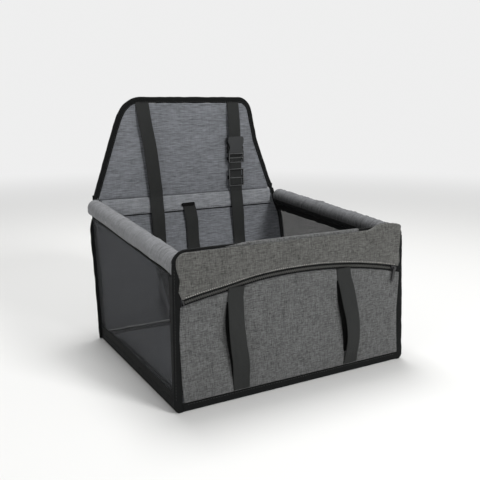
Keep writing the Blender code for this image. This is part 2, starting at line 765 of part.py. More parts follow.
def build_back(lining, cover):
    """Back wall: lining, outer cover and the padded band along its rim."""
    low = SEAM_WIDTH + 2 * GAP
    high = BACK_RISE - GAP

    def wall(face):
        def surface(across, up):
            height = low + (high - low) * up
            return BACK.place((2 * across - 1) * back_half_width(height), height, face)
        return surface

    sheet("back_wall_lining", lining, wall(0), 4, 16, LINING_CLOTH)
    sheet("back_wall_cover", cover, wall(-LINING_CLOTH - GAP), 4, 16, COVER_CLOTH)
    band_half = RAIL_BACK_SPREAD - RAIL_RADIUS - BAND_END_MARGIN
    turns = np.linspace(0, 2 * math.pi, BAND_STEPS, endpoint=False)
    outline = [(round_share(math.cos(turn)) * BAND_THICKNESS / 2,
                round_share(math.sin(turn)) * BAND_HEIGHT / 2) for turn in turns]
    place = BACK.matrix(0, high - BAND_HEIGHT / 2, GAP + BAND_THICKNESS / 2)
    plate("back_rim_band", lining, [outline], 2 * band_half,
          place @ Matrix.Rotation(math.pi / 2, 4, "Y"))


def round_share(share):
    """Share of a half size that gives a fuller outline than an ellipse."""
    return math.copysign(abs(share)**BAND_FULL_SHARE, share)


def band_foot():
    """Distance up the back wall to the lower edge of the rim band."""
    return BACK_RISE - GAP - BAND_HEIGHT


def rail_ends(side):
    """Front and back middle points of a side rail."""
    sign = -1 if side == "left" else 1
    height = FRONT_HEIGHT - RAIL_FRONT_DROPS[side]
    slope = (RAIL_BACK_HEIGHT - height) / BASKET_DEPTH
    front_face = FRONT.place(0, height + RAIL_RADIUS, -OUTER_CLOTH - GAP - LINING_CLOTH)
    clearance = GAP + RAIL_RADIUS * slope
    front = (sign * RAIL_FRONT_SPREAD, front_face[1] + clearance, height)
    flat = RAIL_RADIUS - RAIL_END_ROUNDING
    back_face = BACK.place(0, RAIL_BACK_HEIGHT - flat, GAP)
    back = (sign * RAIL_BACK_SPREAD, back_face[1] - flat * slope - 2 * GAP, RAIL_BACK_HEIGHT)
    return np.array(front), np.array(back)


def build_side(side, rail_cloth, pipe, mesh_cloth, tape):
    """One side: padded rail with its tube, piping and see-through panel."""
    front, back = rail_ends(side)
    length = float(np.linalg.norm(back - front))
    aim = Vector((back - front) / length).to_track_quat("Z", "Y").to_matrix().to_4x4()
    matrix = Matrix.Translation(Vector(front)) @ aim
    turns = np.linspace(math.pi / 2, 0, 4)
    shoulder = length - RAIL_END_ROUNDING
    rounding = [(RAIL_RADIUS - RAIL_END_ROUNDING + RAIL_END_ROUNDING * math.cos(turn),
                 shoulder + RAIL_END_ROUNDING * math.sin(turn)) for turn in turns]
    bore_end = length - RAIL_END_ROUNDING - RAIL_END_WALL
    profile = [(0, length), *rounding, (RAIL_RADIUS, 0), (RAIL_BORE_RADIUS, 0),
               (RAIL_BORE_RADIUS, bore_end), (0, bore_end)]
    turned("rail_sleeve_" + side, rail_cloth, profile, matrix, closed=False)
    bore = RAIL_TUBE_RADIUS - RAIL_TUBE_WALL
    tube_end = bore_end - GAP
    turned("rail_tube_" + side, pipe, [(RAIL_TUBE_RADIUS, tube_end), (RAIL_TUBE_RADIUS, GAP),
                                       (bore, GAP), (bore, tube_end)], matrix, closed=True)
    seam_face = BACK.place(0, RAIL_BACK_HEIGHT - RAIL_RADIUS - 2 * PIPING_RADIUS, 2 * GAP)[1]
    reach_share = (seam_face - front[1]) / (back[1] - front[1])

    def piping_line(share):
        middle = front + (back - front) * (share * reach_share)[:, None]
        sideways = math.copysign(MESH_TOP_SPREAD, front[0]) - middle[:, 0]
        drop = np.sqrt((RAIL_RADIUS + GAP + PIPING_RADIUS)**2 - sideways**2)
        return middle + np.stack([sideways, np.zeros_like(drop), -drop], axis=1)

    tube("rail_piping_" + side, tape, piping_line(np.linspace(0, 1, PIPING_STEPS)),
         PIPING_RADIUS)
    build_mesh_panel(side, mesh_cloth, piping_line)


def build_mesh_panel(side, mesh_cloth, top_line):
    """See-through panel from the foot binding up to the piping."""
    sign = -1 if side == "left" else 1
    foot_across = sign * (BASKET_WIDTH / 2 + SEAM_PROUD - SEAM_WIDTH / 2)
    low = SEAM_WIDTH + GAP
    foot_front = np.array((foot_across, FRONT.place(0, low, -SEAM_THICKNESS)[1] + GAP, low))
    foot_back = np.array((foot_across, BACK.place(0, low, GAP)[1] - GAP, low))
    drop = np.array((0, 0, -(PIPING_RADIUS + GAP)))

    def surface(along, up):
        along = along if sign > 0 else 1 - along
        high = top_line(along) + drop
        along = along[:, None]
        up = up[:, None]
        foot = foot_front * (1 - along) + foot_back * along
        return foot * (1 - up) + high * up

    sheet("mesh_panel_" + side, mesh_cloth, surface, PIPING_STEPS - 1, 4, MESH_CLOTH, offset=0.0)


def build_flap(front_cloth, board, back_cloth, tape):
    """Headrest flap: padded face, stiff board, back cloth and binding."""
    rise = math.hypot(FLAP_LEAN, FLAP_RISE)
    outline = RoundedTop(FLAP_FOOT, FLAP_TOP, rise, FLAP_RADIUS)

    def layer(start, inset, face):
        shape = RoundedTop(FLAP_FOOT - inset, FLAP_TOP - inset, rise - inset, FLAP_RADIUS)

        def surface(across, up):
            high = shape.height - start
            height = start + high * (1 - (1 - up)**1.6)
            return FLAP.place((2 * across - 1) * shape.half_width(height), height, face)
        return surface

    board_face = -FLAP_FRONT_THICKNESS - GAP
    back_face = board_face - FLAP_BOARD_THICKNESS - GAP
    total = FLAP_FRONT_THICKNESS + FLAP_BOARD_THICKNESS + FLAP_BACK_THICKNESS + 4 * GAP
    pieces = [
        sheet("flap_face", front_cloth, layer(FLAP_FACE_MARGIN, 0, 0), 6, 14,
              FLAP_FRONT_THICKNESS),
        sheet("flap_board", board, layer(FLAP_BOARD_MARGIN, FLAP_BOARD_MARGIN, board_face), 6, 12,
              FLAP_BOARD_THICKNESS),
        sheet("flap_back", back_cloth, layer(FLAP_FOLD_MARGIN, 0, back_face), 6, 14,
              FLAP_BACK_THICKNESS),
        seam_tape("flap_binding", tape, FLAP, outline, FLAP_FOLD_MARGIN,
                  (FLAP_SEAM_WIDTH, FLAP_SEAM_WIDTH), GAP, total),
    ]
    return pieces


def strap_middle():
    """Distance from the flap's face to the middle of the headrest strap."""
    return STRAP_STANDOFF + WEBBING_THICKNESS / 2


def build_flap_straps(webbing):
    """Headrest strap above the fold: left leg, right leg and the short buckle strap."""
    rise = math.hypot(FLAP_LEAN, FLAP_RISE)
    middle = strap_middle()
    half = WEBBING_THICKNESS / 2
    top = rise - GAP
    foot = STRAP_FOLD_REACH
    left = smooth_route([(LEFT_STRAP_TOP, top, STRAP_TOP_DEPTH + half),
                         (LEFT_STRAP_TOP * 0.8 + LEFT_STRAP_MIDDLE * 0.2, top * 0.85, middle * 0.7),
                         (LEFT_STRAP_MIDDLE, top * 0.55, middle), (LEFT_STRAP_FOOT, foot, middle)], 14)
    strap_end = BUCKLE_MOUTH - PLUG_SHOULDER - GAP
    right = np.linspace((RIGHT_STRAP_PLACE, foot, middle), (RIGHT_STRAP_PLACE, strap_end, middle), 4)
    socket_end = BUCKLE_MOUTH + SOCKET_LENGTH
    short = smooth_route([(RIGHT_STRAP_PLACE, top, STRAP_TOP_DEPTH + half),
                          (RIGHT_STRAP_PLACE, (top + socket_end) / 2, middle * 0.8),
                          (RIGHT_STRAP_PLACE, socket_end + SOCKET_CORNER, middle),
                          (RIGHT_STRAP_PLACE, socket_end - SOCKET_SLOT_DEPTH + 2 * GAP, middle)], 9)
    return [ribbon(name, webbing, FLAP.place(route[:, 0], route[:, 1], route[:, 2]), FLAP.across)
            for name, route in (("headrest_strap_left", left), ("headrest_strap_right", right),
                                ("buckle_short_strap", short))]


def build_lower_straps(webbing):
    """Headrest strap below the fold: two folded bits and the loop inside the basket."""
    middle = strap_middle()
    reach = STRAP_FOLD_REACH - GAP
    for name, place in (("left", LEFT_STRAP_FOOT), ("right", RIGHT_STRAP_PLACE)):
        bend = (FLAP.place(place, 0, middle) + BACK.place(place, BACK_RISE, middle)) / 2
        route = [FLAP.place(place, reach, middle), FLAP.place(place, reach / 2, middle), bend,
                 BACK.place(place, BACK_RISE - reach / 2, middle),
                 BACK.place(place, BACK_RISE - reach, middle)]
        ribbon("headrest_strap_fold_" + name, webbing, smooth_route(route, 7), FLAP.across)
    half = WEBBING_THICKNESS / 2
    start = BACK_RISE - STRAP_FOLD_REACH
    wall = LEG_WALL_DEPTH + half
    floor_depth = wall + WEBBING_WIDTH / 2 + LOOP_FORWARD
    floor_height = pad_top() + GAP + half + WEBBING_WIDTH / 2 * BACK.out[2]
    floor = (floor_height - floor_depth * BACK.out[2]) / BACK.up[2]
    route = []
    turned_share = []
    for side, place in ((-1, LEFT_STRAP_FOOT), (1, RIGHT_STRAP_PLACE)):
        centre = (place - side * LOOP_BEND_RADIUS, floor + LOOP_BEND_RADIUS)
        points = [(place, start, middle), (place, band_foot() - 2 * SEAM_PROUD, middle),
                  (place, LEG_STRAIGHT_FOOT, wall), (place, LEG_TWIST_FOOT, wall)]
        for turn in np.linspace(0, math.pi / 2, 4):
            points.append((centre[0] + side * LOOP_BEND_RADIUS * math.cos(turn),
                           centre[1] - LOOP_BEND_RADIUS * math.sin(turn), wall))
        points.append((centre[0] - side * LOOP_BEND_RADIUS / 3, floor, wall))
        shares = [0, 0, 0, LEG_TWIST_SHARE, 1, 1, 1, 1, 1]
        route.extend(points[::-side] if side > 0 else points)
        turned_share.extend(shares[::-side] if side > 0 else shares)
    route = np.array([BACK.place(*point) for point in route])
    knots = np.concatenate([[0], np.cumsum(np.linalg.norm(np.diff(route, axis=0), axis=1))])
    centre = smooth_route(route, LOOP_STEPS)
    share = np.interp(np.linspace(0, knots[-1], LOOP_STEPS), knots, turned_share)
    angle = ease_ends(share)[:, None] * math.pi / 2
    tangent = np.gradient(centre, axis=0)
    across = np.cross(BACK.out, tangent)
    across /= np.linalg.norm(across, axis=1)[:, None]
    side = unit_rows(np.cos(angle) * across + np.sin(angle) * BACK.out)
    reach = np.abs(side @ BACK.out) * WEBBING_WIDTH / 2 + LOOP_FORWARD * share
    return ribbon("headrest_strap_loop", webbing, centre + reach[:, None] * BACK.out, side)


def unit_rows(vectors):
    """Rows with the same directions and length one."""
    return vectors / np.linalg.norm(vectors, axis=1)[:, None]


def pad_top():
    """Height of the floor pad's crown."""
    return BASE_COVER_THICKNESS + BOARD_THICKNESS + PAD_THICKNESS + 2 * GAP


def on_strap(up, depth=0.0):
    """Transform on the right strap's middle line, a distance up the flap."""
    return FLAP.matrix(RIGHT_STRAP_PLACE, up, strap_middle() + depth)


def build_webbing_slider(name, material, width, length, bar, cheek, face, foot, ends):
    """Frame with bars in front of the webbing and one cross bar behind it."""
    clear = WEBBING_THICKNESS / 2 + GAP
    window = (WEBBING_WIDTH + 2 * GAP + (width - WEBBING_WIDTH - 2 * cheek - 2 * GAP),
              length - ends[0] - ends[1])
    centre = (0.0, (ends[0] - ends[1]) / 2)
    front = plate(name, material, [rectangle(width, length, bar / 2),
                                   rectangle(window[0], window[1], GAP, centre)],
                  face, on_strap(foot + length / 2, clear + face / 2))
    frame = as_mesh(front)
    depth = 2 * clear + face + bar
    cheek_width = (width - WEBBING_WIDTH) / 2 - GAP
    cheek_length = bar * 2
    others = []
    for label, side in (("left", -1), ("right", 1)):
        shift = Matrix.Translation((side * (width / 2 - cheek_width / 2), 0, 0))
        place = on_strap(foot + length / 2 + centre[1], clear + face - depth / 2)
        others.append(box(f"{name}_cheek_{label}", None, (cheek_width, cheek_length, depth),
                          place @ shift, collection=CUTTERS))
    rear = on_strap(foot + length / 2 + centre[1], -clear - bar / 2)
    others.append(box(name + "_rear_bar", None, (width, bar, bar), rear, collection=CUTTERS))
    return combine(frame, "UNION", *others)


def build_buckle(plastic):
    """Side-release buckle: plug with ladder and tongue, two arms and the socket."""
    foot = BUCKLE_MOUTH - GAP - PLUG_LADDER_LENGTH
    plug = build_webbing_slider("buckle_plug", plastic, SOCKET_WIDTH, PLUG_LADDER_LENGTH, PLUG_BAR,
                                PLUG_CHEEK, PLUG_PLATE_THICKNESS, foot, (PLUG_BAR, PLUG_SHOULDER))
    tongue_foot = BUCKLE_MOUTH - PLUG_SHOULDER + GAP
    tongue_length = BUCKLE_MOUTH + TONGUE_LENGTH - tongue_foot
    root = box("buckle_tongue", None, (TONGUE_WIDTH, tongue_length, TONGUE_THICKNESS),
               on_strap(tongue_foot + tongue_length / 2), collection=CUTTERS)
    combine(plug, "UNION", root)
    arms = [build_arm(name, side, plastic) for name, side in (("left", -1), ("right", 1))]
    return plug, arms, build_socket(plastic)


def build_arm(name, side, plastic):
    """Springy side arm with the pad that a finger presses."""
    inner = ARM_PLACE
    outer = ARM_PLACE + ARM_STEM
    reach = ARM_PAD_REACH
    middle = (ARM_PAD_START + ARM_PAD_END) / 2
    outline = [(inner, 0), (outer, 0), (outer, ARM_PAD_START - ARM_STEM),
               (reach - ARM_STEM / 2, ARM_PAD_START), (reach, middle),
               (reach - ARM_STEM, ARM_PAD_END), (outer, ARM_LENGTH), (inner, ARM_LENGTH)]
    outline = [(side * across, up) for across, up in outline]
    if side < 0:
        outline = outline[::-1]
    return plate("buckle_arm_" + name, plastic, [outline], ARM_THICKNESS, on_strap(BUCKLE_MOUTH))


def build_socket(plastic):
    """Socket half: waisted body with a cavity for the plug and a slot for its strap."""
    half = SOCKET_WIDTH / 2
    waist = SOCKET_WAIST / 2
    length = SOCKET_LENGTH
    heights = np.linspace(0, SOCKET_CAVITY_LENGTH, 9)
    sides = half - (half - waist) * np.sin(np.pi * heights / SOCKET_CAVITY_LENGTH)**2
    right = [(float(across), float(up)) for across, up in zip(sides, heights)]
    corner = SOCKET_CORNER
    right += [(half, length - corner), (half - corner, length)]
    outline = right + [(-across, up) for across, up in right[::-1]]
    body = as_mesh(plate("buckle_socket", plastic, [outline], SOCKET_THICKNESS,
                         on_strap(BUCKLE_MOUTH)))
    cavity = box("socket_cavity", None,
                 (SOCKET_WIDTH + 2 * OVERRUN, SOCKET_CAVITY_LENGTH + OVERRUN, SOCKET_CAVITY),
                 on_strap(BUCKLE_MOUTH + (SOCKET_CAVITY_LENGTH - OVERRUN) / 2), collection=CUTTERS)
    slot_length = SOCKET_SLOT_DEPTH + OVERRUN
    slot = box("socket_slot", None,
               (WEBBING_WIDTH + 2 * GAP, slot_length, WEBBING_THICKNESS + 2 * GAP),
               on_strap(BUCKLE_MOUTH + length - SOCKET_SLOT_DEPTH + slot_length / 2),
               collection=CUTTERS)
    return combine(body, "DIFFERENCE", cavity, slot)


def on_tether(up, depth=0.0):
    """Transform on the hook's swivel axis: X across, Y up the back wall, Z into the basket."""
    return BACK.matrix(TETHER_PLACE, up, TETHER_AXIS_DEPTH + depth)


def along_tether(up):
    """The same with its Z up the back wall."""
    return on_tether(up) @ Matrix.Rotation(-math.pi / 2, 4, "X")


def build_tether(webbing, metal):
    """Safety tether: strap, swivel eye, snap hook and sprung gate."""
    half = WEBBING_THICKNESS / 2
    rim = BAND_THICKNESS + 2 * GAP + half
    wall = LEG_WALL_DEPTH + half
    wrap = math.hypot(EYE_BAR, EYE_THICKNESS) / 2 + GAP + half
    axis = TETHER_AXIS_DEPTH
    foot = TETHER_FOOT
    slot = TETHER_TOP_PLACE
    drift = np.linspace(slot, TETHER_PLACE, 3)
    route = [(slot, TETHER_TOP, rim), (drift[1], band_foot() + SEAM_PROUD, rim),
             (TETHER_PLACE, band_foot() - SEAM_WIDTH, rim), (TETHER_PLACE, LEG_STRAIGHT_FOOT, wall),
             (TETHER_PLACE, foot + 2 * TETHER_TAIL, wall + wrap),
             (TETHER_PLACE, foot + TETHER_TAIL / 2, axis - wrap)]
    upper = smooth_route([BACK.place(*point) for point in route], 14)
    turns = np.linspace(0, math.pi, 7)
    curl = [BACK.place(TETHER_PLACE, foot - wrap * math.sin(turn), axis - wrap * math.cos(turn))
            for turn in turns]
    tail = BACK.place(TETHER_PLACE, foot + TETHER_TAIL, axis + wrap)
    ribbon("tether_strap", webbing, np.concatenate([upper, curl, [tail]]), FRONT.across)
    build_eye(metal)
    hook, gate, gate_up = build_hook(metal)
    hook_axis = carry("tether_swivel_axis", on_tether(foot).translation, [hook])
    pivot = on_tether(gate_up) @ Vector((gate_place(), 0, 0))
    carry("tether_gate_axis", pivot, [gate], hook_axis)


def barrel_top():
    """Distance up the wall to the swivel barrel's upper end, just inside the ring."""
    return TETHER_FOOT + EYE_BAR / 2 - EYE_HEIGHT + EYE_BAR + GAP


def gate_place():
    """Sideways distance from the swivel axis to the middle of the hook's wire."""
    return HOOK_WIDTH / 2 - HOOK_WIRE_RADIUS


def build_eye(metal):
    """Swivel eye: a flat ring for the strap with a bored barrel at its foot."""
    bore_width = EYE_WIDTH - 2 * EYE_BAR
    bore_height = EYE_HEIGHT - 2 * EYE_BAR
    outlines = [rectangle(EYE_WIDTH, EYE_HEIGHT, EYE_CORNER),
                rectangle(bore_width, bore_height, EYE_CORNER - EYE_BAR)]
    ring = as_mesh(plate("tether_eye", metal, outlines, EYE_THICKNESS,
                         on_tether(TETHER_FOOT + EYE_BAR / 2 - EYE_HEIGHT / 2)))
    place = along_tether(barrel_top() - BARREL_LENGTH / 2)
    barrel = cylinder("tether_barrel", None, BARREL_RADIUS, BARREL_LENGTH, place, CUTTERS)
    bore = cylinder("tether_bore", None, SWIVEL_BORE_RADIUS, BARREL_LENGTH + 2 * OVERRUN, place,
                    CUTTERS, SMALL_ROUND_STEPS)
    combine(ring, "UNION", barrel)
    return combine(ring, "DIFFERENCE", bore)


def build_hook(metal):
    """Snap hook: swivel pin and collar, bent wire and a gate across its mouth."""
    collar_top = barrel_top() - BARREL_LENGTH - GAP
    collar_foot = collar_top - HOOK_COLLAR_LENGTH
    collar_middle = collar_top - HOOK_COLLAR_LENGTH / 2
    hook = cylinder("tether_hook", metal, HOOK_COLLAR_RADIUS, HOOK_COLLAR_LENGTH,
                    along_tether(collar_middle))
    head_middle = barrel_top() + GAP + SWIVEL_HEAD_HEIGHT / 2
    pin_length = head_middle - collar_middle
    pin = cylinder("tether_pin", None, SWIVEL_PIN_RADIUS, pin_length,
                   along_tether(collar_middle + pin_length / 2), CUTTERS, SMALL_ROUND_STEPS)
    head = cylinder("tether_pin_head", None, SWIVEL_HEAD_RADIUS, SWIVEL_HEAD_HEIGHT,
                    along_tether(head_middle), CUTTERS, SMALL_ROUND_STEPS)
    reach = gate_place()
    bend_middle = reach + HOOK_WIRE_RADIUS - HOOK_DROP
    bend = [(reach * math.cos(turn), bend_middle + reach * math.sin(turn), 0)
            for turn in np.linspace(math.pi, 2 * math.pi, 9)]
    points = [(0, HOOK_COLLAR_LENGTH / 2, 0),
              (-reach * HOOK_SHOULDER_SHARE, -HOOK_WIRE_RADIUS / 2, 0),
              (-reach, -HOOK_SHOULDER_DROP, 0), *bend, (reach, -HOOK_NOSE_DROP, 0)]
    wire = tube("tether_wire", None, points, HOOK_WIRE_RADIUS, 2, CUTTERS)
    wire.matrix_world = on_tether(collar_foot)
    ear_length = reach + GATE_RADIUS
    ears = []
    for name, side in (("front", 1), ("rear", -1)):
        depth = side * (GATE_RADIUS + GAP + GATE_EAR_THICKNESS / 2)
        place = on_tether(collar_middle, depth) @ Matrix.Translation((ear_length / 2, 0, 0))
        ears.append(box("tether_ear_" + name, None,
                        (ear_length, GATE_EAR_HEIGHT, GATE_EAR_THICKNESS), place,
                        collection=CUTTERS))
    combine(hook, "UNION", pin, head, as_mesh(wire), *ears)
    gate_length = collar_middle - (collar_foot - HOOK_NOSE_DROP) - GAP
    gate = tube("tether_gate", metal, [(0, -gate_length, 0), (0, GATE_RADIUS, 0)], GATE_RADIUS)
    gate.matrix_world = on_tether(collar_middle) @ Matrix.Translation((reach, 0, 0))
    knob_place = on_tether(collar_middle - GATE_KNOB_DROP)
    knob = cylinder("tether_knob", None, GATE_KNOB_RADIUS, GATE_KNOB_REACH,
                    knob_place @ Matrix.Translation((reach + GATE_KNOB_REACH / 2, 0, 0))
                    @ Matrix.Rotation(math.pi / 2, 4, "Y"), CUTTERS, SMALL_ROUND_STEPS)
    gate = as_mesh(gate)
    combine(gate, "UNION", knob)
    return hook, gate, collar_middle


def main():
    """Clear the scene and build every sub-part."""
    for old in list(bpy.data.objects):
        bpy.data.objects.remove(old, do_unlink=True)
    for name in (PARTS, CUTTERS):
        bpy.context.scene.collection.children.link(bpy.data.collections.new(name))
    heather = finish("heather_cloth", HEATHER, 0.9)
    slate = finish("slate_cloth", SLATE, 0.9)
    rail_grey = finish("rail_cloth", RAIL_GREY, 0.9)
    tape = finish("binding_tape", BLACK_TAPE, 0.85)
    webbing = finish("webbing", WEBBING_BLACK, 0.8)
    smoke = finish("mesh_cloth", SMOKE, 0.7)
    plastic = finish("buckle_plastic", PLASTIC_BLACK, 0.4)
    pipe = finish("rail_pipe", PIPE_WHITE, 0.4)
    board = finish("stiff_board", BOARD_GREY, 0.6)
    metal = finish("hook_metal", STEEL, 0.3, 1.0)
    build_floor(slate, board, tape)
    front_top = build_front(heather, slate, tape, tape, metal)
    build_pocket_loops(webbing)
    build_corners(tape, front_top)
    build_back(slate, slate)
    for side in ("left", "right"):
        build_side(side, rail_grey, pipe, smoke, tape)
    flap = build_flap(slate, board, slate, tape) + build_flap_straps(webbing)
    build_lower_straps(webbing)
    plug, arms, socket = build_buckle(plastic)
    glide = build_webbing_slider("tri_glide", plastic, GLIDE_WIDTH, GLIDE_LENGTH, GLIDE_BAR,
                                 GLIDE_CHEEK, GLIDE_PLATE, GLIDE_FOOT, (GLIDE_BAR, GLIDE_BAR))
    fold = carry("flap_fold_axis", FOLD, flap + [plug])
    carry("buckle_socket_axis", on_strap(BUCKLE_MOUTH).translation, [socket], fold)
    carry("tri_glide_axis", on_strap(GLIDE_FOOT).translation, [glide], fold)
    for name, side, arm in (("left", -1, arms[0]), ("right", 1, arms[1])):
        root = FLAP.place(RIGHT_STRAP_PLACE + side * (ARM_PLACE + ARM_STEM / 2), BUCKLE_MOUTH,
                          strap_middle())
        carry("buckle_arm_axis_" + name, root, [arm], fold)
    build_tether(webbing, metal)


main()
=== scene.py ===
"""Looks of a foldable dog car seat: bound cloth walls, padded rails, webbing and its fittings.

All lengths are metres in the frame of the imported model: +Z up, +X to the right of someone facing
the zip pocket, which looks along -Y. Each sub-assembly is a class that builds its own pieces, each
finish is a frozen dataclass, and every shape is worked out as whole numpy grids.
"""

import logging
import math
from collections.abc import Callable, Sequence
from dataclasses import dataclass, field, replace
from enum import Enum

import bmesh
import bpy
import numpy as np
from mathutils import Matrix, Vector


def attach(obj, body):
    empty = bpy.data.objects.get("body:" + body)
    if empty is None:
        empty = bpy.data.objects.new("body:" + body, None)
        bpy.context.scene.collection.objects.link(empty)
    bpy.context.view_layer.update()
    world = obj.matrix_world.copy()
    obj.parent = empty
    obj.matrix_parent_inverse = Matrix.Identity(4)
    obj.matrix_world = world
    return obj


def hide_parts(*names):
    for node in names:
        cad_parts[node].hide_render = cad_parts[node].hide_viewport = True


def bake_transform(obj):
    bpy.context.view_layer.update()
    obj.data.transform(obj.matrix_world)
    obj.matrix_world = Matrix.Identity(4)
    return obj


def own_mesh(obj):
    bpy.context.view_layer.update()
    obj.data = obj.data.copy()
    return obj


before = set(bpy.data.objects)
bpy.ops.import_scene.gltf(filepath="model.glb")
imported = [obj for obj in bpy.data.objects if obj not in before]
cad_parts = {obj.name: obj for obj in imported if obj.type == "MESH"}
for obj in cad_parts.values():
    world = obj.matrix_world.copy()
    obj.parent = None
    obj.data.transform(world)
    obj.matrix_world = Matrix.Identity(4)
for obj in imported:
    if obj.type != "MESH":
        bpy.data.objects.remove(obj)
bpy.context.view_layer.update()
LOG = logging.getLogger("dog_car_seat")
Array = np.ndarray
Table = tuple[tuple[float, float], ...]
MERGE_DISTANCE = 2e-6


class Body(Enum):
    """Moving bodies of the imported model."""
    BASKET = "basket"
    FLAP = "flap"
    GLIDE = "strap_slider"


class Side(Enum):
    """Left or right of someone facing the pocket."""
    LEFT = -1
    RIGHT = 1

    @property
    def word(self) -> str:
        """Name of the side as the model's nodes write it."""
        return self.name.lower()


# Surfaces


def unit(vectors: Array) -> Array:
    """Vectors of length one with the same directions."""
    array = np.asarray(vectors, float)
    return array / np.linalg.norm(array, axis=-1, keepdims=True)


def ease(share: Array) -> Array:
    """Shares from 0 to 1 that crowd towards both ends: half of one minus the cosine."""
    return 0.5 - 0.5 * np.cos(np.pi * np.asarray(share, float))


def step_up(value: Array, low: float, high: float) -> Array:
    """Smooth rise from 0 at low to 1 at high: 3 s squared less 2 s cubed."""
    share = np.clip((np.asarray(value, float) - low) / (high - low), 0, 1)
    return share * share * (3 - 2 * share)


def round_edge(distance: Array, radius: float) -> Array:
    """Height share of a quarter round at distances from an edge, one beyond its radius."""
    inside = 1 - np.clip(np.asarray(distance, float) / radius, 0, 1)
    return np.sqrt(1 - inside * inside)


def bell(place: Array, middle: float, width: float) -> Array:
    """Bell curve: e to the minus square of the distance from its middle, in widths."""
    return np.exp(-((place - middle) / width)**2)


def read_off(table: Table, place: Array) -> Array:
    """Values at places between a table's pairs of place and value, along straight lines."""
    return np.interp(place, *zip(*table))


def run_length(points: Array) -> Array:
    """Distance along a row of points, from its first."""
    return np.concatenate([[0], np.cumsum(np.linalg.norm(np.diff(points, axis=0), axis=1))])


def smooth_route(points: Sequence[Sequence[float]], count: int) -> Array:
    """Even points on a cubic curve through the given ones.

    Args:
        points: The points that the curve passes through.
        count: How many points to return.

    Returns:
        Points at even steps of the curve's length, count by 3.
    """
    points = np.asarray(points, float)
    knots = run_length(points)
    slopes = np.gradient(points, knots, axis=0)
    fine = np.linspace(0, knots[-1], 16 * count)
    span = np.clip(np.searchsorted(knots, fine, side="right") - 1, 0, len(knots) - 2)
    length = (knots[span + 1] - knots[span])[:, None]
    share = (fine - knots[span])[:, None] / length
    curve = ((2 * share**3 - 3 * share**2 + 1) * points[span]
             + (share**3 - 2 * share**2 + share) * length * slopes[span]
             + (3 * share**2 - 2 * share**3) * points[span + 1]
             + (share**3 - share**2) * length * slopes[span + 1])
    along = run_length(curve)
    return picked(curve, along, np.linspace(0, along[-1], count))


def picked(rows: Array, length: Array, wanted: Array) -> Array:
    """Rows of three numbers at the wanted lengths, between the given rows at theirs."""
    return np.stack([np.interp(wanted, length, rows[:, axis]) for axis in range(3)], axis=1)


@dataclass(frozen=True)
class Panel:
    """Axes of one flat panel: across it, up it and out of its face."""
    origin: tuple[float, float, float]
    lean: tuple[float, float]

    @property
    def across(self) -> Array:
        """Direction across the panel."""
        return np.array((1.0, 0.0, 0.0))

    @property
    def up(self) -> Array:
        """Direction up the panel, from how far it leans back and rises."""
        return unit(np.array((0.0, *self.lean)))

    @property
    def out(self) -> Array:
        """Direction out of the panel's face, towards -Y."""
        return np.cross(self.across, self.up)

    @property
    def rise(self) -> float:
        """Length of the panel from its foot to its top."""
        return math.hypot(*self.lean)

    def place(self, across: Array, up: Array, out: Array) -> Array:
        """World points for distances along the three axes.

        Args:
            across: Distances to the right of the panel's middle.
            up: Distances up the panel.
            out: Distances out of its face.

        Returns:
            Points, with one more dimension than the arguments.
        """
        across, up, out = np.broadcast_arrays(np.asarray(across, float), up, out)
        return (np.array(self.origin) + across[..., None] * self.across
                + up[..., None] * self.up + out[..., None] * self.out)

    def cloth(self, across: Array, up: Array, out: Array, rear: Array) -> "list[Patch]":
        """Closed cloth on the panel between an outer and a rear distance out of its face."""
        return slab(lay(self.place(across, up, out), across, up), self.place(across, up, rear))


@dataclass(frozen=True)
class Ripples:
    """Gentle unevenness of cloth as a sum of sine waves.

    The height at a point is the sum of sines of the point's distance along each wave's direction,
    divided by the root of half their number, times the wanted height. The directions, lengths and
    phases come from a seed, and lie stretches the waves along one axis.
    """
    height: float
    shortest: float
    longest: float
    lie: tuple[float, float] = (1.0, 1.0)
    count: int = 12
    seed: int = 1

    def at(self, across: Array, up: Array) -> Array:
        """Heights of the waves at places on the cloth.

        Args:
            across: Distances across the cloth.
            up: Distances up it.

        Returns:
            Heights, in the shape of both.
        """
        numbers = np.random.default_rng(self.seed)
        turn = numbers.uniform(0, 2 * np.pi, self.count)
        length = numbers.uniform(self.shortest, self.longest, self.count)
        phase = numbers.uniform(0, 2 * np.pi, self.count)
        across, up = np.broadcast_arrays(np.asarray(across, float), up)
        wave = (across[..., None] * np.cos(turn) * self.lie[0]
                + up[..., None] * np.sin(turn) * self.lie[1]) * 2 * np.pi / length + phase
        return self.height * np.sin(wave).sum(axis=-1) / math.sqrt(self.count / 2)


@dataclass
class Patch:
    """One grid of points with its place on the cloth, in metres."""
    points: Array
    cloth: Array


def lay(points: Array, across: Array, up: Array) -> Patch:
    """A patch from points and the two distances on the cloth."""
    across, up = np.broadcast_arrays(across, up)
    return Patch(points, np.stack([across, up], axis=-1))


def slab(front: Patch, back: Array) -> list[Patch]:
    """Closed cloth from a front grid and a back grid: two faces and four rims.

    Args:
        front: The outer face.
        back: Points behind it, on a grid of the same size.

    Returns:
        Six patches that share their edges.
    """
    patches = [front, Patch(back, front.cloth)]
    for edge in (np.s_[0, :], np.s_[-1, :], np.s_[:, 0], np.s_[:, -1]):
        rim = np.stack([front.points[edge], back[edge]])
        patches.append(Patch(rim, np.stack([front.cloth[edge], front.cloth[edge]])))
    return patches


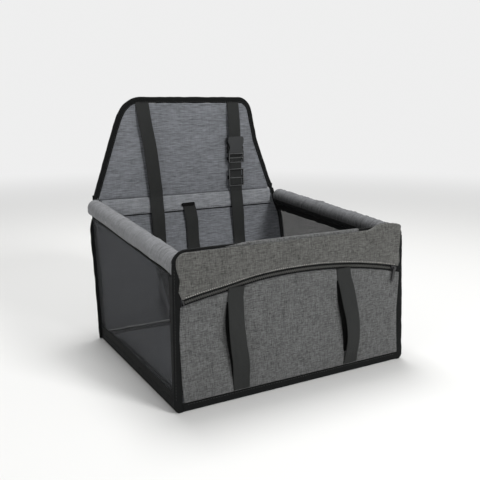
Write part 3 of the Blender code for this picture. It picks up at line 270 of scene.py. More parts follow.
def flat_section(width: float, thickness: float, steps: int = 9) -> Array:
    """Outline of flat webbing: two straight faces joined by half rounds.

    Args:
        width: Width of the webbing.
        thickness: Its thickness.
        steps: Points along each straight face.

    Returns:
        Points across and up, the last one the first again.
    """
    flat = (width - thickness) / 2
    turn = np.linspace(-np.pi / 2, np.pi / 2, 6)
    half = thickness / 2
    right = np.stack([flat + half * np.cos(turn), half * np.sin(turn)], axis=1)
    top = np.stack([np.linspace(flat, -flat, steps), np.full(steps, half)], axis=1)[1:-1]
    left = -right
    return np.concatenate([right, top, left, -top, right[:1]])


def soft_section(half_across: float, half_up: float, fullness: float = 0.45,
                 steps: int = 24) -> Array:
    """Outline of a folded tape: cosine and sine, each raised to the fullness.

    Args:
        half_across: Half its width.
        half_up: Half its thickness.
        fullness: One for an oval, less for fuller corners.
        steps: Points round it.

    Returns:
        Points across and up, the last one the first again.
    """
    turn = np.linspace(0, 2 * np.pi, steps + 1)
    cosine = np.cos(turn)
    sine = np.sin(turn)
    return np.stack([half_across * np.sign(cosine) * np.abs(cosine)**fullness,
                     half_up * np.sign(sine) * np.abs(sine)**fullness], axis=1)


def sweep(section: Array, centre: Array, across: Array, up: Array, widen: Array | float = 1.0,
          thicken: Array | float = 1.0) -> list[Patch]:
    """Closed body from an outline carried along a path.

    Args:
        section: Outline as distances across and up, its last point the first again.
        centre: Path points.
        across: Direction of the outline's first axis at each point.
        up: Direction of its second axis.
        widen: Scale of the first axis at each point.
        thicken: Scale of the second axis at each point.

    Returns:
        The skin and its two end caps.
    """
    across = np.broadcast_to(across, centre.shape)
    up = np.broadcast_to(up, centre.shape)
    widen = np.broadcast_to(widen, len(centre))
    thicken = np.broadcast_to(thicken, len(centre))
    skin = (centre[:, None] + section[None, :, :1] * widen[:, None, None] * across[:, None]
            + section[None, :, 1:] * thicken[:, None, None] * up[:, None])
    around = run_length(section)
    along = run_length(centre)
    patches = [lay(skin, around[None, :], along[:, None])]
    for end, distance in ((0, along[0]), (-1, along[-1])):
        middle = np.broadcast_to(centre[end], skin[end].shape)
        cap = np.stack([skin[end], middle])
        patches.append(lay(cap, np.stack([section[:, 0], 0 * around]), distance))
    return patches


def strap(centre: Array, side: Array, width: float, thickness: float) -> list[Patch]:
    """Webbing whose middle runs through the centre points, flat along the side direction.

    Args:
        centre: Middle of the webbing.
        side: Direction across it, at each point or for all.
        width: Its width.
        thickness: Its thickness.

    Returns:
        Patches of the closed webbing.
    """
    side = unit(np.broadcast_to(side, centre.shape))
    tangent = unit(np.gradient(centre, axis=0))
    return sweep(flat_section(width, thickness), centre, side, unit(np.cross(side, tangent)))


def round_bar(centre: Array, radius: float, steps: int = 12) -> list[Patch]:
    """Round cord through the centre points.

    Args:
        centre: Middle of the cord.
        radius: Half its thickness.
        steps: Points round it.

    Returns:
        Patches of the closed cord.
    """
    tangent = unit(np.gradient(centre, axis=0))
    side = unit(np.cross(tangent, np.array((0.0, 0.0, 1.0))))
    return sweep(soft_section(radius, radius, 1.0, steps), centre, side, np.cross(side, tangent))


def joined(patches: Sequence[Patch]) -> tuple[Array, Array, Array]:
    """Points, square faces and cloth places of several patches as one mesh.

    Args:
        patches: The patches.

    Returns:
        Points (n by 3), faces (m by 4) and cloth places of the face corners (4m by 2).
    """
    points, faces, cloth = [], [], []
    start = 0
    for patch in patches:
        rows, columns = patch.points.shape[:2]
        index = np.arange(rows * columns).reshape(rows, columns) + start
        square = np.stack([index[:-1, :-1], index[:-1, 1:], index[1:, 1:], index[1:, :-1]],
                          axis=-1).reshape(-1, 4)
        points.append(patch.points.reshape(-1, 3))
        cloth.append(patch.cloth.reshape(-1, 2)[(square - start).reshape(-1)])
        faces.append(square)
        start += rows * columns
    return np.concatenate(points), np.concatenate(faces), np.concatenate(cloth)


def repeated(shape: Array, places: Array, along: Array, outward: Array,
             size: Array) -> tuple[Array, Array, Array]:
    """One small closed shape set at many places, as one mesh.

    Args:
        shape: Rings by corners by 3, in shares of the size along, across and outward. Its
            first and last rings are points.
        places: Where each copy stands, n by 3.
        along: Direction of each copy's first axis.
        outward: Direction of its third axis.
        size: Three half sizes.

    Returns:
        Points, faces and cloth places, as joined gives them.
    """
    rings, corners = shape.shape[0], shape.shape[1] - 1
    ring_points = shape[:, :-1].reshape(-1, 3) * size
    along = unit(along)
    across = unit(np.cross(outward, along))
    outward = unit(np.cross(along, across))
    points = (places[:, None] + ring_points[None, :, :1] * along[:, None]
              + ring_points[None, :, 1:2] * across[:, None]
              + ring_points[None, :, 2:] * outward[:, None])
    column = np.arange(corners)
    row = np.arange(rings - 1)[:, None] * corners
    square = np.stack([row + column, row + (column + 1) % corners,
                       row + corners + (column + 1) % corners, row + corners + column], axis=-1)
    square = square.reshape(1, -1, 4) + np.arange(len(places))[:, None, None] * rings * corners
    faces = square.reshape(-1, 4)
    flat = points.reshape(-1, 3)
    return flat, faces, flat[faces.reshape(-1)][:, [0, 2]]


def grain(steps: int = 6, rings: int = 5) -> Array:
    """Small lozenge with rounded ends: the shape of one stitch or one zip tooth.

    Its radius is the cosine of the latitude, raised to a power a little under one.

    Args:
        steps: Corners of each ring.
        rings: Number of rings.

    Returns:
        Rings by corners by 3, with half sizes of one.
    """
    turn = np.linspace(0, 2 * np.pi, steps + 1)[None, :]
    lift = np.linspace(-np.pi / 2, np.pi / 2, rings)[:, None]
    radius = np.maximum(np.cos(lift)**0.7, 0)
    return np.stack([np.sin(lift) * np.ones_like(turn), radius * np.cos(turn),
                     radius * np.sin(turn)], axis=-1)


# Shader maths


class Channel:
    """One number that varies over a surface: a socket whose operators add Math nodes."""

    def __init__(self, bench: "Bench", socket: bpy.types.NodeSocket) -> None:
        """Wrap a socket of a material."""
        self.bench = bench
        self.socket = socket

    def math(self, operation: str, *values: "Channel | float") -> "Channel":
        """A Math node on these values.

        Args:
            operation: The node's operation.
            values: Its inputs in order.

        Returns:
            The node's result.
        """
        node = self.bench.node("ShaderNodeMath", {"operation": operation},
                               dict(enumerate(values)))
        return Channel(self.bench, node.outputs[0])

    def __add__(self, other: "Channel | float") -> "Channel":
        """Sum."""
        return self.math("ADD", self, other)

    __radd__ = __add__

    def __sub__(self, other: "Channel | float") -> "Channel":
        """Difference."""
        return self.math("SUBTRACT", self, other)

    def __rsub__(self, other: float) -> "Channel":
        """Difference with the channel second."""
        return self.math("SUBTRACT", other, self)

    def __mul__(self, other: "Channel | float") -> "Channel":
        """Product."""
        return self.math("MULTIPLY", self, other)

    __rmul__ = __mul__

    def __truediv__(self, other: "Channel | float") -> "Channel":
        """Quotient."""
        return self.math("DIVIDE", self, other)

    def __pow__(self, other: float) -> "Channel":
        """Power."""
        return self.math("POWER", self, other)

    def sine(self) -> "Channel":
        """Sine of the value."""
        return self.math("SINE", self)

    def wave(self, length: float) -> "Channel":
        """Sine that repeats after the given length."""
        return (self * (2 * math.pi / length)).sine()

    def larger(self, other: "Channel | float") -> "Channel":
        """Larger of two values."""
        return self.math("MAXIMUM", self, other)

    def rise(self, low: float, high: float) -> "Channel":
        """Smooth share from 0 at low to 1 at high."""
        node = self.bench.node("ShaderNodeMapRange",
                               {"interpolation_type": "SMOOTHSTEP", "clamp": True},
                               {"Value": self, "From Min": low, "From Max": high,
                                "To Min": 0.0, "To Max": 1.0})
        return Channel(self.bench, node.outputs["Result"])


Colour = tuple[float, float, float]


class Bench:
    """Builds the nodes of one material, or of the world."""

    def __init__(self, owner: bpy.types.Material | bpy.types.World) -> None:
        """Start with the owner's node tree empty.

        Args:
            owner: The material or world that the nodes belong to.
        """
        owner.use_nodes = True
        self.owner = owner
        self.tree = owner.node_tree
        self.tree.nodes.clear()

    def node(self, kind: str, settings: dict | None = None,
             values: dict | None = None) -> bpy.types.Node:
        """Add one node.

        Args:
            kind: The node's type.
            settings: Its own settings, set first.
            values: Numbers, colours, sockets or channels for its inputs, by name or number.

        Returns:
            The node.
        """
        node = self.tree.nodes.new(kind)
        for key, value in (settings or {}).items():
            setattr(node, key, value)
        for key, value in (values or {}).items():
            if isinstance(value, Channel):
                value = value.socket
            if isinstance(value, bpy.types.NodeSocket):
                self.tree.links.new(value, node.inputs[key])
            elif isinstance(value, tuple) and node.inputs[key].type == "RGBA":
                node.inputs[key].default_value = (*value[:3], 1.0)
            else:
                node.inputs[key].default_value = value
        return node

    def split(self, socket: bpy.types.NodeSocket) -> tuple[Channel, Channel, Channel]:
        """The three numbers of a vector."""
        parts = self.node("ShaderNodeSeparateXYZ", None, {0: socket})
        return tuple(Channel(self, output) for output in parts.outputs)

    def cloth(self) -> tuple[Channel, Channel]:
        """Distances across and up the cloth, in metres, from the piece's own map."""
        across, up, _ = self.split(self.node("ShaderNodeUVMap", {"uv_map": "cloth"}).outputs[0])
        return across, up

    def place(self) -> tuple[Channel, Channel, Channel]:
        """The point's own place in the piece, in metres."""
        return self.split(self.node("ShaderNodeTexCoord").outputs["Object"])

    def vector(self, first: Channel | float, second: Channel | float,
               third: Channel | float = 0.0) -> bpy.types.NodeSocket:
        """A vector from three numbers."""
        return self.node("ShaderNodeCombineXYZ", None, {0: first, 1: second, 2: third}).outputs[0]

    def noise(self, first: Channel, second: Channel, third: Channel | float = 0.0,
              detail: float = 2.0, rough: float = 0.5) -> Channel:
        """Soft noise about one half, one blob to each unit of the three numbers."""
        node = self.node("ShaderNodeTexNoise", {"noise_dimensions": "3D"},
                         {"Vector": self.vector(first, second, third), "Scale": 1.0,
                          "Detail": detail, "Roughness": rough})
        return Channel(self, node.outputs["Fac"])

    def mix(self, share: Channel | float, first: Colour, second: Colour) -> bpy.types.NodeSocket:
        """Colour between two colours or colour sockets.

        Args:
            share: Share of the second colour.
            first: Colour at 0.
            second: Colour at 1.

        Returns:
            Socket of the mixed colour.
        """
        node = self.node("ShaderNodeMix", {"data_type": "RGBA", "clamp_factor": True},
                         {"Factor": share})
        for index, value in ((6, first), (7, second)):
            if isinstance(value, tuple):
                node.inputs[index].default_value = (*value, 1.0)
            else:
                self.tree.links.new(value, node.inputs[index])
        return node.outputs[2]

    def tones(self, share: Channel, colour: Colour, dark: float,
              light: float) -> bpy.types.NodeSocket:
        """One colour that runs from its dark tone to its light one."""
        return self.mix(share, shade(colour, dark), shade(colour, light))

    def surface(self, varying: dict, fixed: dict, height: Channel | None = None,
                depth: float = 0.001) -> bpy.types.Material:
        """Close the material with its shader.

        Args:
            varying: Shader inputs that change over the surface.
            fixed: Shader inputs that are the same all over.
            height: Surface relief, as a share of the depth.
            depth: The relief's full depth in metres.

        Returns:
            The finished material.
        """
        values = {**fixed, **varying}
        if height is not None:
            bump = self.node("ShaderNodeBump", None, {"Height": height, "Distance": depth,
                                                      "Strength": 1.0})
            values["Normal"] = bump.outputs[0]
        shader = self.node("ShaderNodeBsdfPrincipled", None, values)
        self.node("ShaderNodeOutputMaterial", None, {0: shader.outputs[0]})
        return self.owner


def shade(colour: Colour, amount: float) -> Colour:
    """The same colour, lighter or darker by a factor."""
    return tuple(min(part * amount, 1.0) for part in colour)


# Finishes


@dataclass(frozen=True)
class Finish:
    """Common part of all finishes: a name, the record's slot and the main colour."""
    name: str
    slot: str
    colour: Colour

    def material(self) -> bpy.types.Material:
        """The finish's material, made the first time that it is asked for."""
        known = bpy.data.materials.get(self.name)
        return known if known is not None else self.make(
            Bench(bpy.data.materials.new(self.name)))

    def make(self, bench: Bench) -> bpy.types.Material:
        """Build the material."""
        raise NotImplementedError


@dataclass(frozen=True)
class WovenCloth(Finish):
    """Cloth of thick and thin threads: streaks along and across, with fine relief.

    A weft streak is noise stretched across the cloth and a warp streak is noise stretched up it,
    each at two lengths. Their weighted sum picks a place between a dark and a light colour.
    Where a crease noise runs high, the relief sinks and the colour is darkened once more: painted
    shade in the creases. The fade darkens the colour over a span of the distance across: painted
    shade, on a rail its inner underside.
    """
    streak_length: float = 0.010
    streak_height: float = 0.0010
    warp_share: float = 0.45
    contrast: float = 0.5
    cool: Colour = (1.0, 1.0, 1.0)
    thread: float = 0.00085
    relief: float = 0.00035
    sheen: float = 0.10
    crease: float = 0.0
    broad: float = 0.8
    fade: tuple[float, ...] = ()
    broad_reach: tuple[float, float] = (2.6, 2.1)
    patch: tuple[float, float] = (0.045, 0.030)
    depths: tuple[float, float] = (0.40, 1.60)
    gain: float = 2.6

    def make(self, bench: Bench) -> bpy.types.Material:
        """Build the woven cloth.

        Args:
            bench: Bench of the empty material.

        Returns:
            The material.
        """
        across, up = bench.cloth()
        long, thin = self.streak_length, self.streak_height
        weft = bench.noise(across / long, up / thin, 1.7, 2.0, 0.6)
        warp = bench.noise(across / thin, up / long, 5.3, 2.0, 0.6)
        longer, thicker = self.broad_reach[0] * long, self.broad_reach[1] * thin
        broad_weft = bench.noise(across / longer, up / thicker, 7.9, 1.0)
        broad_warp = bench.noise(across / thicker, up / longer, 8.3, 1.0)
        patches = bench.noise(across / self.patch[0], up / self.patch[1], 9.1, 3.0, 0.55)
        streak = (weft + broad_weft * self.broad) * (1 - self.warp_share) \
            + (warp + broad_warp * self.broad) * self.warp_share
        tone = (streak - 0.5 * (1 + self.broad)) * (self.gain * self.contrast) \
            + (patches - 0.5) * 0.16 + 0.5
        cooler = tuple(part * tint for part, tint in zip(self.colour, self.cool))
        dark, light = shade(self.colour, self.depths[0]), shade(cooler, self.depths[1])
        rib = across.wave(self.thread) * up.wave(self.thread)
        height = rib * 0.25 + weft * 1.2 + broad_weft \
            + (warp + broad_warp) * (1.3 * self.warp_share)
        colour = bench.mix(tone, dark, light)
        # Painted shade in the creases: where the crease noise runs high the relief sinks and the
        # colour darkens.
        if self.crease:
            fold = bench.noise(across / (1.4 * long), up / (3.2 * thin), 2.2, 3.0, 0.65)
            deep = fold.rise(0.56, 0.74)
            colour = bench.mix(deep * self.crease, colour, shade(self.colour, 0.45))
            height = height - deep * 1.6
        # Painted shade: the colour darkens towards a tenth of itself between two spans of the
        # distance across, on a rail its inner underside.
        if self.fade:
            first, full, last, gone = self.fade
            fade_shade = across.rise(first, full) * (1 - across.rise(last, gone))
            colour = bench.mix(fade_shade * 0.86, colour, shade(self.colour, 0.10))
        return bench.surface(
            {"Base Color": colour, "Roughness": 1 - streak * 0.12},
            {"Sheen Weight": self.sheen, "Sheen Roughness": 0.5, "Specular IOR Level": 0.15},
            height, self.relief)


@dataclass(frozen=True)
class Webbing(Finish):
    """Flat woven strap: narrow chevron ribs along it and a smoother edge."""
    rib: float = 0.0016
    rough: float = 0.55

    def make(self, bench: Bench) -> bpy.types.Material:
        """Build the webbing.

        Args:
            bench: Bench of the empty material.

        Returns:
            The material.
        """
        across, along = bench.cloth()
        zigzag = (across.wave(4 * self.rib) * 0.6 + along * (2 * math.pi / self.rib)).sine()
        cord = across.wave(0.75 * self.rib)
        cloud = bench.noise(across / 0.006, along / 0.020, 2.0, 3.0)
        fibre = bench.noise(across / 0.0006, along / 0.0030, 4.0, 2.0)
        tone = zigzag * 0.12 + (cloud - 0.5) * 0.9 + (fibre - 0.5) * 0.5 + 0.5
        colour = bench.tones(tone, self.colour, 0.72, 1.30)
        return bench.surface({"Base Color": colour, "Roughness": self.rough + cloud * 0.2},
                             {"Sheen Weight": 0.03, "Sheen Roughness": 0.4,
                              "Specular IOR Level": 0.16},
                             zigzag * 0.35 + cord * 0.25 + fibre * 0.5, 0.0003)


@dataclass(frozen=True)
class BindingTape(Finish):
    """Folded tape that binds a raw edge: fine ribs across its length and soft creases."""
    rib: float = 0.0009

    def make(self, bench: Bench) -> bpy.types.Material:
        """Build the tape.

        Args:
            bench: Bench of the empty material.

        Returns:
            The material.
        """
        around, along = bench.cloth()
        rib = along.wave(self.rib)
        crease = bench.noise(around / 0.010, along / 0.007, 3.0, 3.0, 0.6)
        tone = rib * 0.10 + (crease - 0.5) * 1.1 + 0.5
        colour = bench.tones(tone, self.colour, 0.65, 1.45)
        return bench.surface({"Base Color": colour, "Roughness": 0.55 + crease * 0.3},
                             {"Sheen Weight": 0.01, "Sheen Roughness": 0.4,
                              "Specular IOR Level": 0.10}, rib * 0.25 + crease * 1.6, 0.0005)


@dataclass(frozen=True)
class NetCloth(Finish):
    """See-through net: small holes on a slanted lattice in a smooth knitted ground."""
    cover: float = 0.45
    pitch: float = 0.0022

    def make(self, bench: Bench) -> bpy.types.Material:
        """Build the net.

        Args:
            bench: Bench of the empty material.

        Returns:
            The material.
        """
        across, up = bench.cloth()
        lattice = (across + up * 0.58).wave(self.pitch) * (across - up * 0.58).wave(self.pitch)
        hole = lattice.rise(-0.2, 0.7)
        cloud = bench.noise(across / 0.05, up / 0.04, 6.0, 3.0)
        solid = self.cover + (0.5 - hole) * 0.35 + (cloud - 0.5) * 0.10
        colour = bench.tones(cloud, self.colour, 0.60, 1.40)
        return bench.surface({"Base Color": colour, "Alpha": solid,
                              "Roughness": 0.55 + cloud * 0.2},
                             {"Specular IOR Level": 0.12, "Sheen Weight": 0.02,
                              "Sheen Roughness": 0.35}, 1 - hole, 0.0003)


@dataclass(frozen=True)
class HardFinish(Finish):
    """Hard surface: fine grain in its relief, and clouds of tone and of dullness.

    The roughness is the given one plus the dullness times the cloud, and the colour runs from
    the darkest share of the main one, where the cloud is 0, to the lightest.
    """
    rough: float = 0.32
    dull: float = 0.20
    tones: tuple[float, float] = (0.80, 1.30)
    grain: tuple[float, float, float, float] = (0.0007, 0.0007, 0.0007, 2.0)
    cloud: tuple[float, float] = (0.012, 3.0)
    relief: float = 0.00008
    shine: float = 0.30
    metallic: float = 0.0

    def make(self, bench: Bench) -> bpy.types.Material:
        """Build the surface; grain and cloud are sizes in metres and the noise's detail.

        Args:
            bench: Bench of the empty material.

        Returns:
            The material.
        """
        x, y, z = bench.place()
        wide, deep, tall, detail = self.grain
        grain_height = bench.noise(x / wide, y / deep, z / tall, detail)
        size, cloud_detail = self.cloud
        cloud = bench.noise(x / size, y / size, z / size, cloud_detail)
        colour = bench.tones(cloud, self.colour, *self.tones)
        fixed = {"Specular IOR Level": self.shine, "Metallic": self.metallic}
        return bench.surface({"Base Color": colour, "Roughness": self.rough + cloud * self.dull},
                             fixed, grain_height, self.relief)


@dataclass(frozen=True)
class StiffBoard(Finish):
    """Pressed board: mottled fibres and a dull face."""

    def make(self, bench: Bench) -> bpy.types.Material:
        """Build the board.

        Args:
            bench: Bench of the empty material.

        Returns:
            The material.
        """
        x, y, z = bench.place()
        fibre = bench.noise(x / 0.0015, y / 0.006, z / 0.0015, 4.0, 0.65)
        colour = bench.tones(fibre, self.colour, 0.6, 1.5)
        return bench.surface({"Base Color": colour, "Roughness": 0.7 + fibre * 0.2},
                             {"Specular IOR Level": 0.3}, fibre, 0.0002)


@dataclass(frozen=True)
class Thread(Finish):
    """Sewing thread: a plain twist with a little shine."""
    twist: float = 0.0008

    def make(self, bench: Bench) -> bpy.types.Material:
        """Build the thread.

        Args:
            bench: Bench of the empty material.

        Returns:
            The material.
        """
        x, y, z = bench.place()
        twist = (x + y + z).wave(self.twist)
        colour = bench.tones(twist * 0.5 + 0.5, self.colour, 0.75, 1.2)
        return bench.surface({"Base Color": colour, "Roughness": 0.6 - twist * 0.08},
                             {"Specular IOR Level": 0.4, "Sheen Weight": 0.1}, twist, 0.0001)


HEATHER = WovenCloth("heather_weave", "heather_cloth", (0.106, 0.106, 0.104),
                     streak_length=0.0066, streak_height=0.00080, warp_share=0.46, contrast=1.25,
                     cool=(0.98, 1.0, 1.02), relief=0.0004, broad=0.35)
HEATHER_WARM = replace(HEATHER, name="heather_weave_warm", colour=(0.101, 0.099, 0.092))
SLATE = WovenCloth("slate_slub", "slate_cloth", (0.196, 0.205, 0.222), streak_length=0.012,
                   streak_height=0.00100, warp_share=0.20, contrast=0.66, relief=0.0005,
                   crease=0.28, broad=0.5)
# The fade paints shade on the inner underside of both rails.
RAIL = WovenCloth("rail_slub", "rail_cloth", (0.228, 0.233, 0.242), streak_length=0.012,
                  streak_height=0.0009, warp_share=0.25, contrast=0.52, relief=0.0007,
                  broad=0.4, fade=(0.0255, 0.0470, 0.0640, 0.0700))
# Darker copy of the rail cloth for the right rail: painted shade.
RAIL_RIGHT_SHADED = replace(RAIL, name="rail_slub_right", colour=(0.180, 0.184, 0.191))
# Lighter copy of the slate cloth for the padded rim band: painted light on the band.
LIT_BAND = WovenCloth("band_slub_painted_light", "slate_cloth", (0.262, 0.272, 0.289), streak_length=0.012,
                  streak_height=0.00100, warp_share=0.20, contrast=0.55, relief=0.0005,
                  crease=0.35, broad=0.5)
WEBBING = Webbing("black_webbing", "webbing", (0.0195, 0.0205, 0.0200))
TAPE = BindingTape("black_binding", "binding_tape", (0.0060, 0.0065, 0.0065))
# Near-black tape that paints shade: inside the tether's slot and under the pocket loops.
PAINTED_SHADE = BindingTape("slot_shade", "binding_tape", (0.0018, 0.0018, 0.0018))
NET = NetCloth("black_net", "mesh_cloth", (0.030, 0.0315, 0.034), cover=0.50)
NET_FAR = NetCloth("black_net_far", "mesh_cloth", (0.034, 0.0345, 0.036), cover=0.655)
PLASTIC = HardFinish("black_plastic", "buckle_plastic", (0.0035, 0.0037, 0.0039), shine=0.14)
SOCKET_PLASTIC = HardFinish("grey_plastic", "buckle_plastic", (0.016, 0.0175, 0.0185), 0.4)
ZIP_NYLON = HardFinish("zip_nylon", "binding_tape", (0.064, 0.064, 0.060), 0.4, shine=0.2)
ZIP_METAL = HardFinish("dark_zip_metal", "hook_metal", (0.013, 0.013, 0.014), 0.26, shine=0.5)
# Light grey plastic for thin cords along the fittings' edges: painted highlights.
PAINTED_HIGHLIGHT = HardFinish("painted_highlight_plastic", "buckle_plastic", (0.22, 0.225, 0.225), 0.3)
METAL = HardFinish("plated_metal", "hook_metal", (0.56, 0.57, 0.58), 0.13, 0.30, (0.82, 1.12),
                   (0.0012, 0.0012, 0.00035, 3.0), (0.006, 3.0), 0.00003, 0.5, 1.0)
PIPE = HardFinish("pale_pipe", "rail_pipe", (0.72, 0.72, 0.70), 0.30, 0.20, (0.88, 1.05),
                  (0.0008, 0.03, 0.0008, 2.0), (0.02, 2.0), 0.00006, 0.5)
BOARD = StiffBoard("pressed_board", "stiff_board", (0.045, 0.045, 0.047))
PALE_THREAD = Thread("pale_thread", "heather_cloth", (0.42, 0.41, 0.385))
DARK_THREAD = Thread("dark_thread", "binding_tape", (0.022, 0.023, 0.023))


# Making pieces


def mesh_piece(name: str, points: Array, faces: Array, cloth: Array,
               crease: float = 42.0) -> bpy.types.Object:
    """An object from arrays, with its doubles merged and its faces turned outward.

    Args:
        name: The piece's name.
        points: Points, n by 3.
        faces: Corner numbers, m by 4.
        cloth: Cloth places of the face corners, 4m by 2.
        crease: Angle in degrees above which an edge stays sharp.

    Returns:
        The object, at the origin.
    """
    mesh = bpy.data.meshes.new(name)
    mesh.from_pydata(points.astype(float), [], faces.tolist())
    layer = mesh.uv_layers.new(name="cloth")
    layer.data.foreach_set("uv", cloth.astype(np.float32).reshape(-1))
    form = bmesh.new()
    form.from_mesh(mesh)
    bmesh.ops.remove_doubles(form, verts=form.verts, dist=MERGE_DISTANCE)
    bmesh.ops.recalc_face_normals(form, faces=form.faces)
    form.to_mesh(mesh)
    form.free()
    mesh.shade_smooth()
    mesh.set_sharp_from_angle(angle=math.radians(crease))
    piece = bpy.data.objects.new(name, mesh)
    bpy.context.scene.collection.objects.link(piece)
    return piece


def points_of(mesh: bpy.types.Mesh) -> Array:
    """Read the points of a mesh.

    Args:
        mesh: The mesh.

    Returns:
        Its points, n by 3.
    """
    points = np.empty(len(mesh.vertices) * 3, np.float32)
    mesh.vertices.foreach_get("co", points)
    return points.reshape(-1, 3)


def dress(piece: bpy.types.Object, finish: Finish,
          body: Body | None = Body.BASKET) -> bpy.types.Object:
    """Give a piece its finish and its body; a piece named as a node replaces that node.

    Args:
        piece: The new piece.
        finish: Its finish.
        body: The body that it rides on, or None where it is left unattached.

    Returns:
        The same piece.
    """
    piece.data.materials.clear()
    piece.data.materials.append(finish.material())
    if body is not None:
        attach(piece, body.value)
    node = piece.name.partition(".")[0]
    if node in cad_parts:
        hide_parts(node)
    LOG.info("%s: %d faces, %s", piece.name, len(piece.data.polygons), finish.name)
    return piece


def make(name: str, patches: Sequence[Patch], finish: Finish, body: Body | None = Body.BASKET,
         crease: float = 42.0) -> bpy.types.Object:
    """Build and dress one piece from patches that share their edges."""
    return dress(mesh_piece(name, *joined(patches), crease), finish, body)


def sew(name: str, path: Array, outward: Array, body: Body = Body.BASKET,
        thread: Finish = DARK_THREAD, pitch: float = 0.0042, stitch: float = 0.0028,
        radius: float = 0.00035, lift: float = 0.4) -> bpy.types.Object:
    """A row of stitches along a path.

    Args:
        name: The piece's name.
        path: Points on the cloth.
        outward: Direction out of the cloth at each point.
        body: The body that the row rides on.
        thread: The thread's finish.
        pitch: Distance from one stitch to the next.
        stitch: Length of one stitch.
        radius: Half the thread's thickness.
        lift: Share of the radius by which the thread's middle stands out of the cloth.

    Returns:
        The row as one piece.
    """
    length = run_length(path)
    wanted = np.arange(pitch / 2, length[-1], pitch)
    outward = np.broadcast_to(outward, path.shape)
    places, outward = (picked(rows, length, wanted) for rows in (path, outward))
    arrays = repeated(grain(), places + outward * radius * lift, np.gradient(places, axis=0),
                      outward, np.array((stitch / 2, radius, radius)))
    return dress(mesh_piece(name, *arrays), thread, body)


@dataclass(frozen=True)
class SeatPlan:
    """Sizes that several sub-assemblies share, as the model's solids have them."""
    gap: float = 0.0003
    width: float = 0.390
    depth: float = 0.320
    side_lean: float = 0.005
    seam_width: float = 0.012
    seam_thickness: float = 0.0042
    seam_proud: float = 0.003
    top_seam_width: float = 0.0034
    front_corner_radius: float = 0.010
    outer_cloth: float = 0.0015
    lining_cloth: float = 0.0020
    cover_cloth: float = 0.0012
    pad_top: float = 0.0146
    webbing_width: float = 0.0250
    webbing_thickness: float = 0.0014
    rail_radius: float = 0.014
    pipe_radius: float = 0.008
    rail_back_height: float = 0.2185
    band_height: float = 0.0294
    band_thickness: float = 0.0026
    strap_standoff: float = 0.0060
    fold_reach: float = 0.0105
    left_strap_foot: float = -0.0710
    right_strap_place: float = 0.0935
    stitch_clear: float = 0.0001
    ground_clear: float = 0.0002
    back_turn: float = 0.190
    back_top_half: float = 0.1735
    bulge_left: Table = ((0.11, 0.0), (0.165, 0.0028), (0.205, 0.0028), (0.222, 0.0))
    bulge_right: Table = ((0.09, 0.0), (0.140, 0.0058), (0.178, 0.0058), (0.197, 0.0034),
                          (0.2124, 0.0))
    front: Panel = Panel((0.0, -0.160, 0.0), (0.009, 0.2180))
    back: Panel = Panel((0.0, 0.160, 0.0), (0.0445, 0.2345))
    flap: Panel = Panel((0.0, 0.2045, 0.2345), (0.0095, 0.1665))

    @property
    def cloth_foot(self) -> float:
        """Height at which the walls' cloth begins, above the tape round the foot."""
        return self.seam_width + 2 * self.gap

    @property
    def band_low(self) -> float:
        """Distance up the back wall to the foot of its padded band."""
        return self.back.rise - self.gap - self.band_height

    @property
    def stitch_face(self) -> float:
        """Distance from a panel's face to the stitches on its binding."""
        return self.gap + self.stitch_clear

    @property
    def panel_foot(self) -> float:
        """Half width of the walls between their corner bindings, at the foot."""
        return self.width / 2 + self.seam_proud - self.seam_width

    @property
    def strap_middle(self) -> float:
        """Distance from the flap's face to the middle of the headrest strap."""
        return self.strap_standoff + self.webbing_thickness / 2

    def back_half_width(self, height: Array) -> Array:
        """Half width of the back wall inside its bindings.

        It follows the sides' slant, and above the turn it narrows with the 1.2th power of the
        share of the way to its top.

        Args:
            height: Heights on the wall.

        Returns:
            Half widths at those heights.
        """
        slant = self.side_lean / self.front.lean[1]
        slanted = self.panel_foot - slant * np.asarray(height, float)
        share = np.clip((height - self.back_turn) / (self.back.rise - self.back_turn), 0, 1)
        foot = self.panel_foot - slant * self.back_turn
        return np.where(share > 0, foot + (self.back_top_half - foot) * share**1.2, slanted)

    def back_edge(self, side: Side, height: Array) -> Array:
        """Half width of the dressed back wall on one side, where its cloth bulges a little."""
        bulge = self.bulge_left if side is Side.LEFT else self.bulge_right
        return self.back_half_width(height) + read_off(bulge, height)


PLAN = SeatPlan()
FRONT, BACK, FLAP, GAP = PLAN.front, PLAN.back, PLAN.flap, PLAN.gap


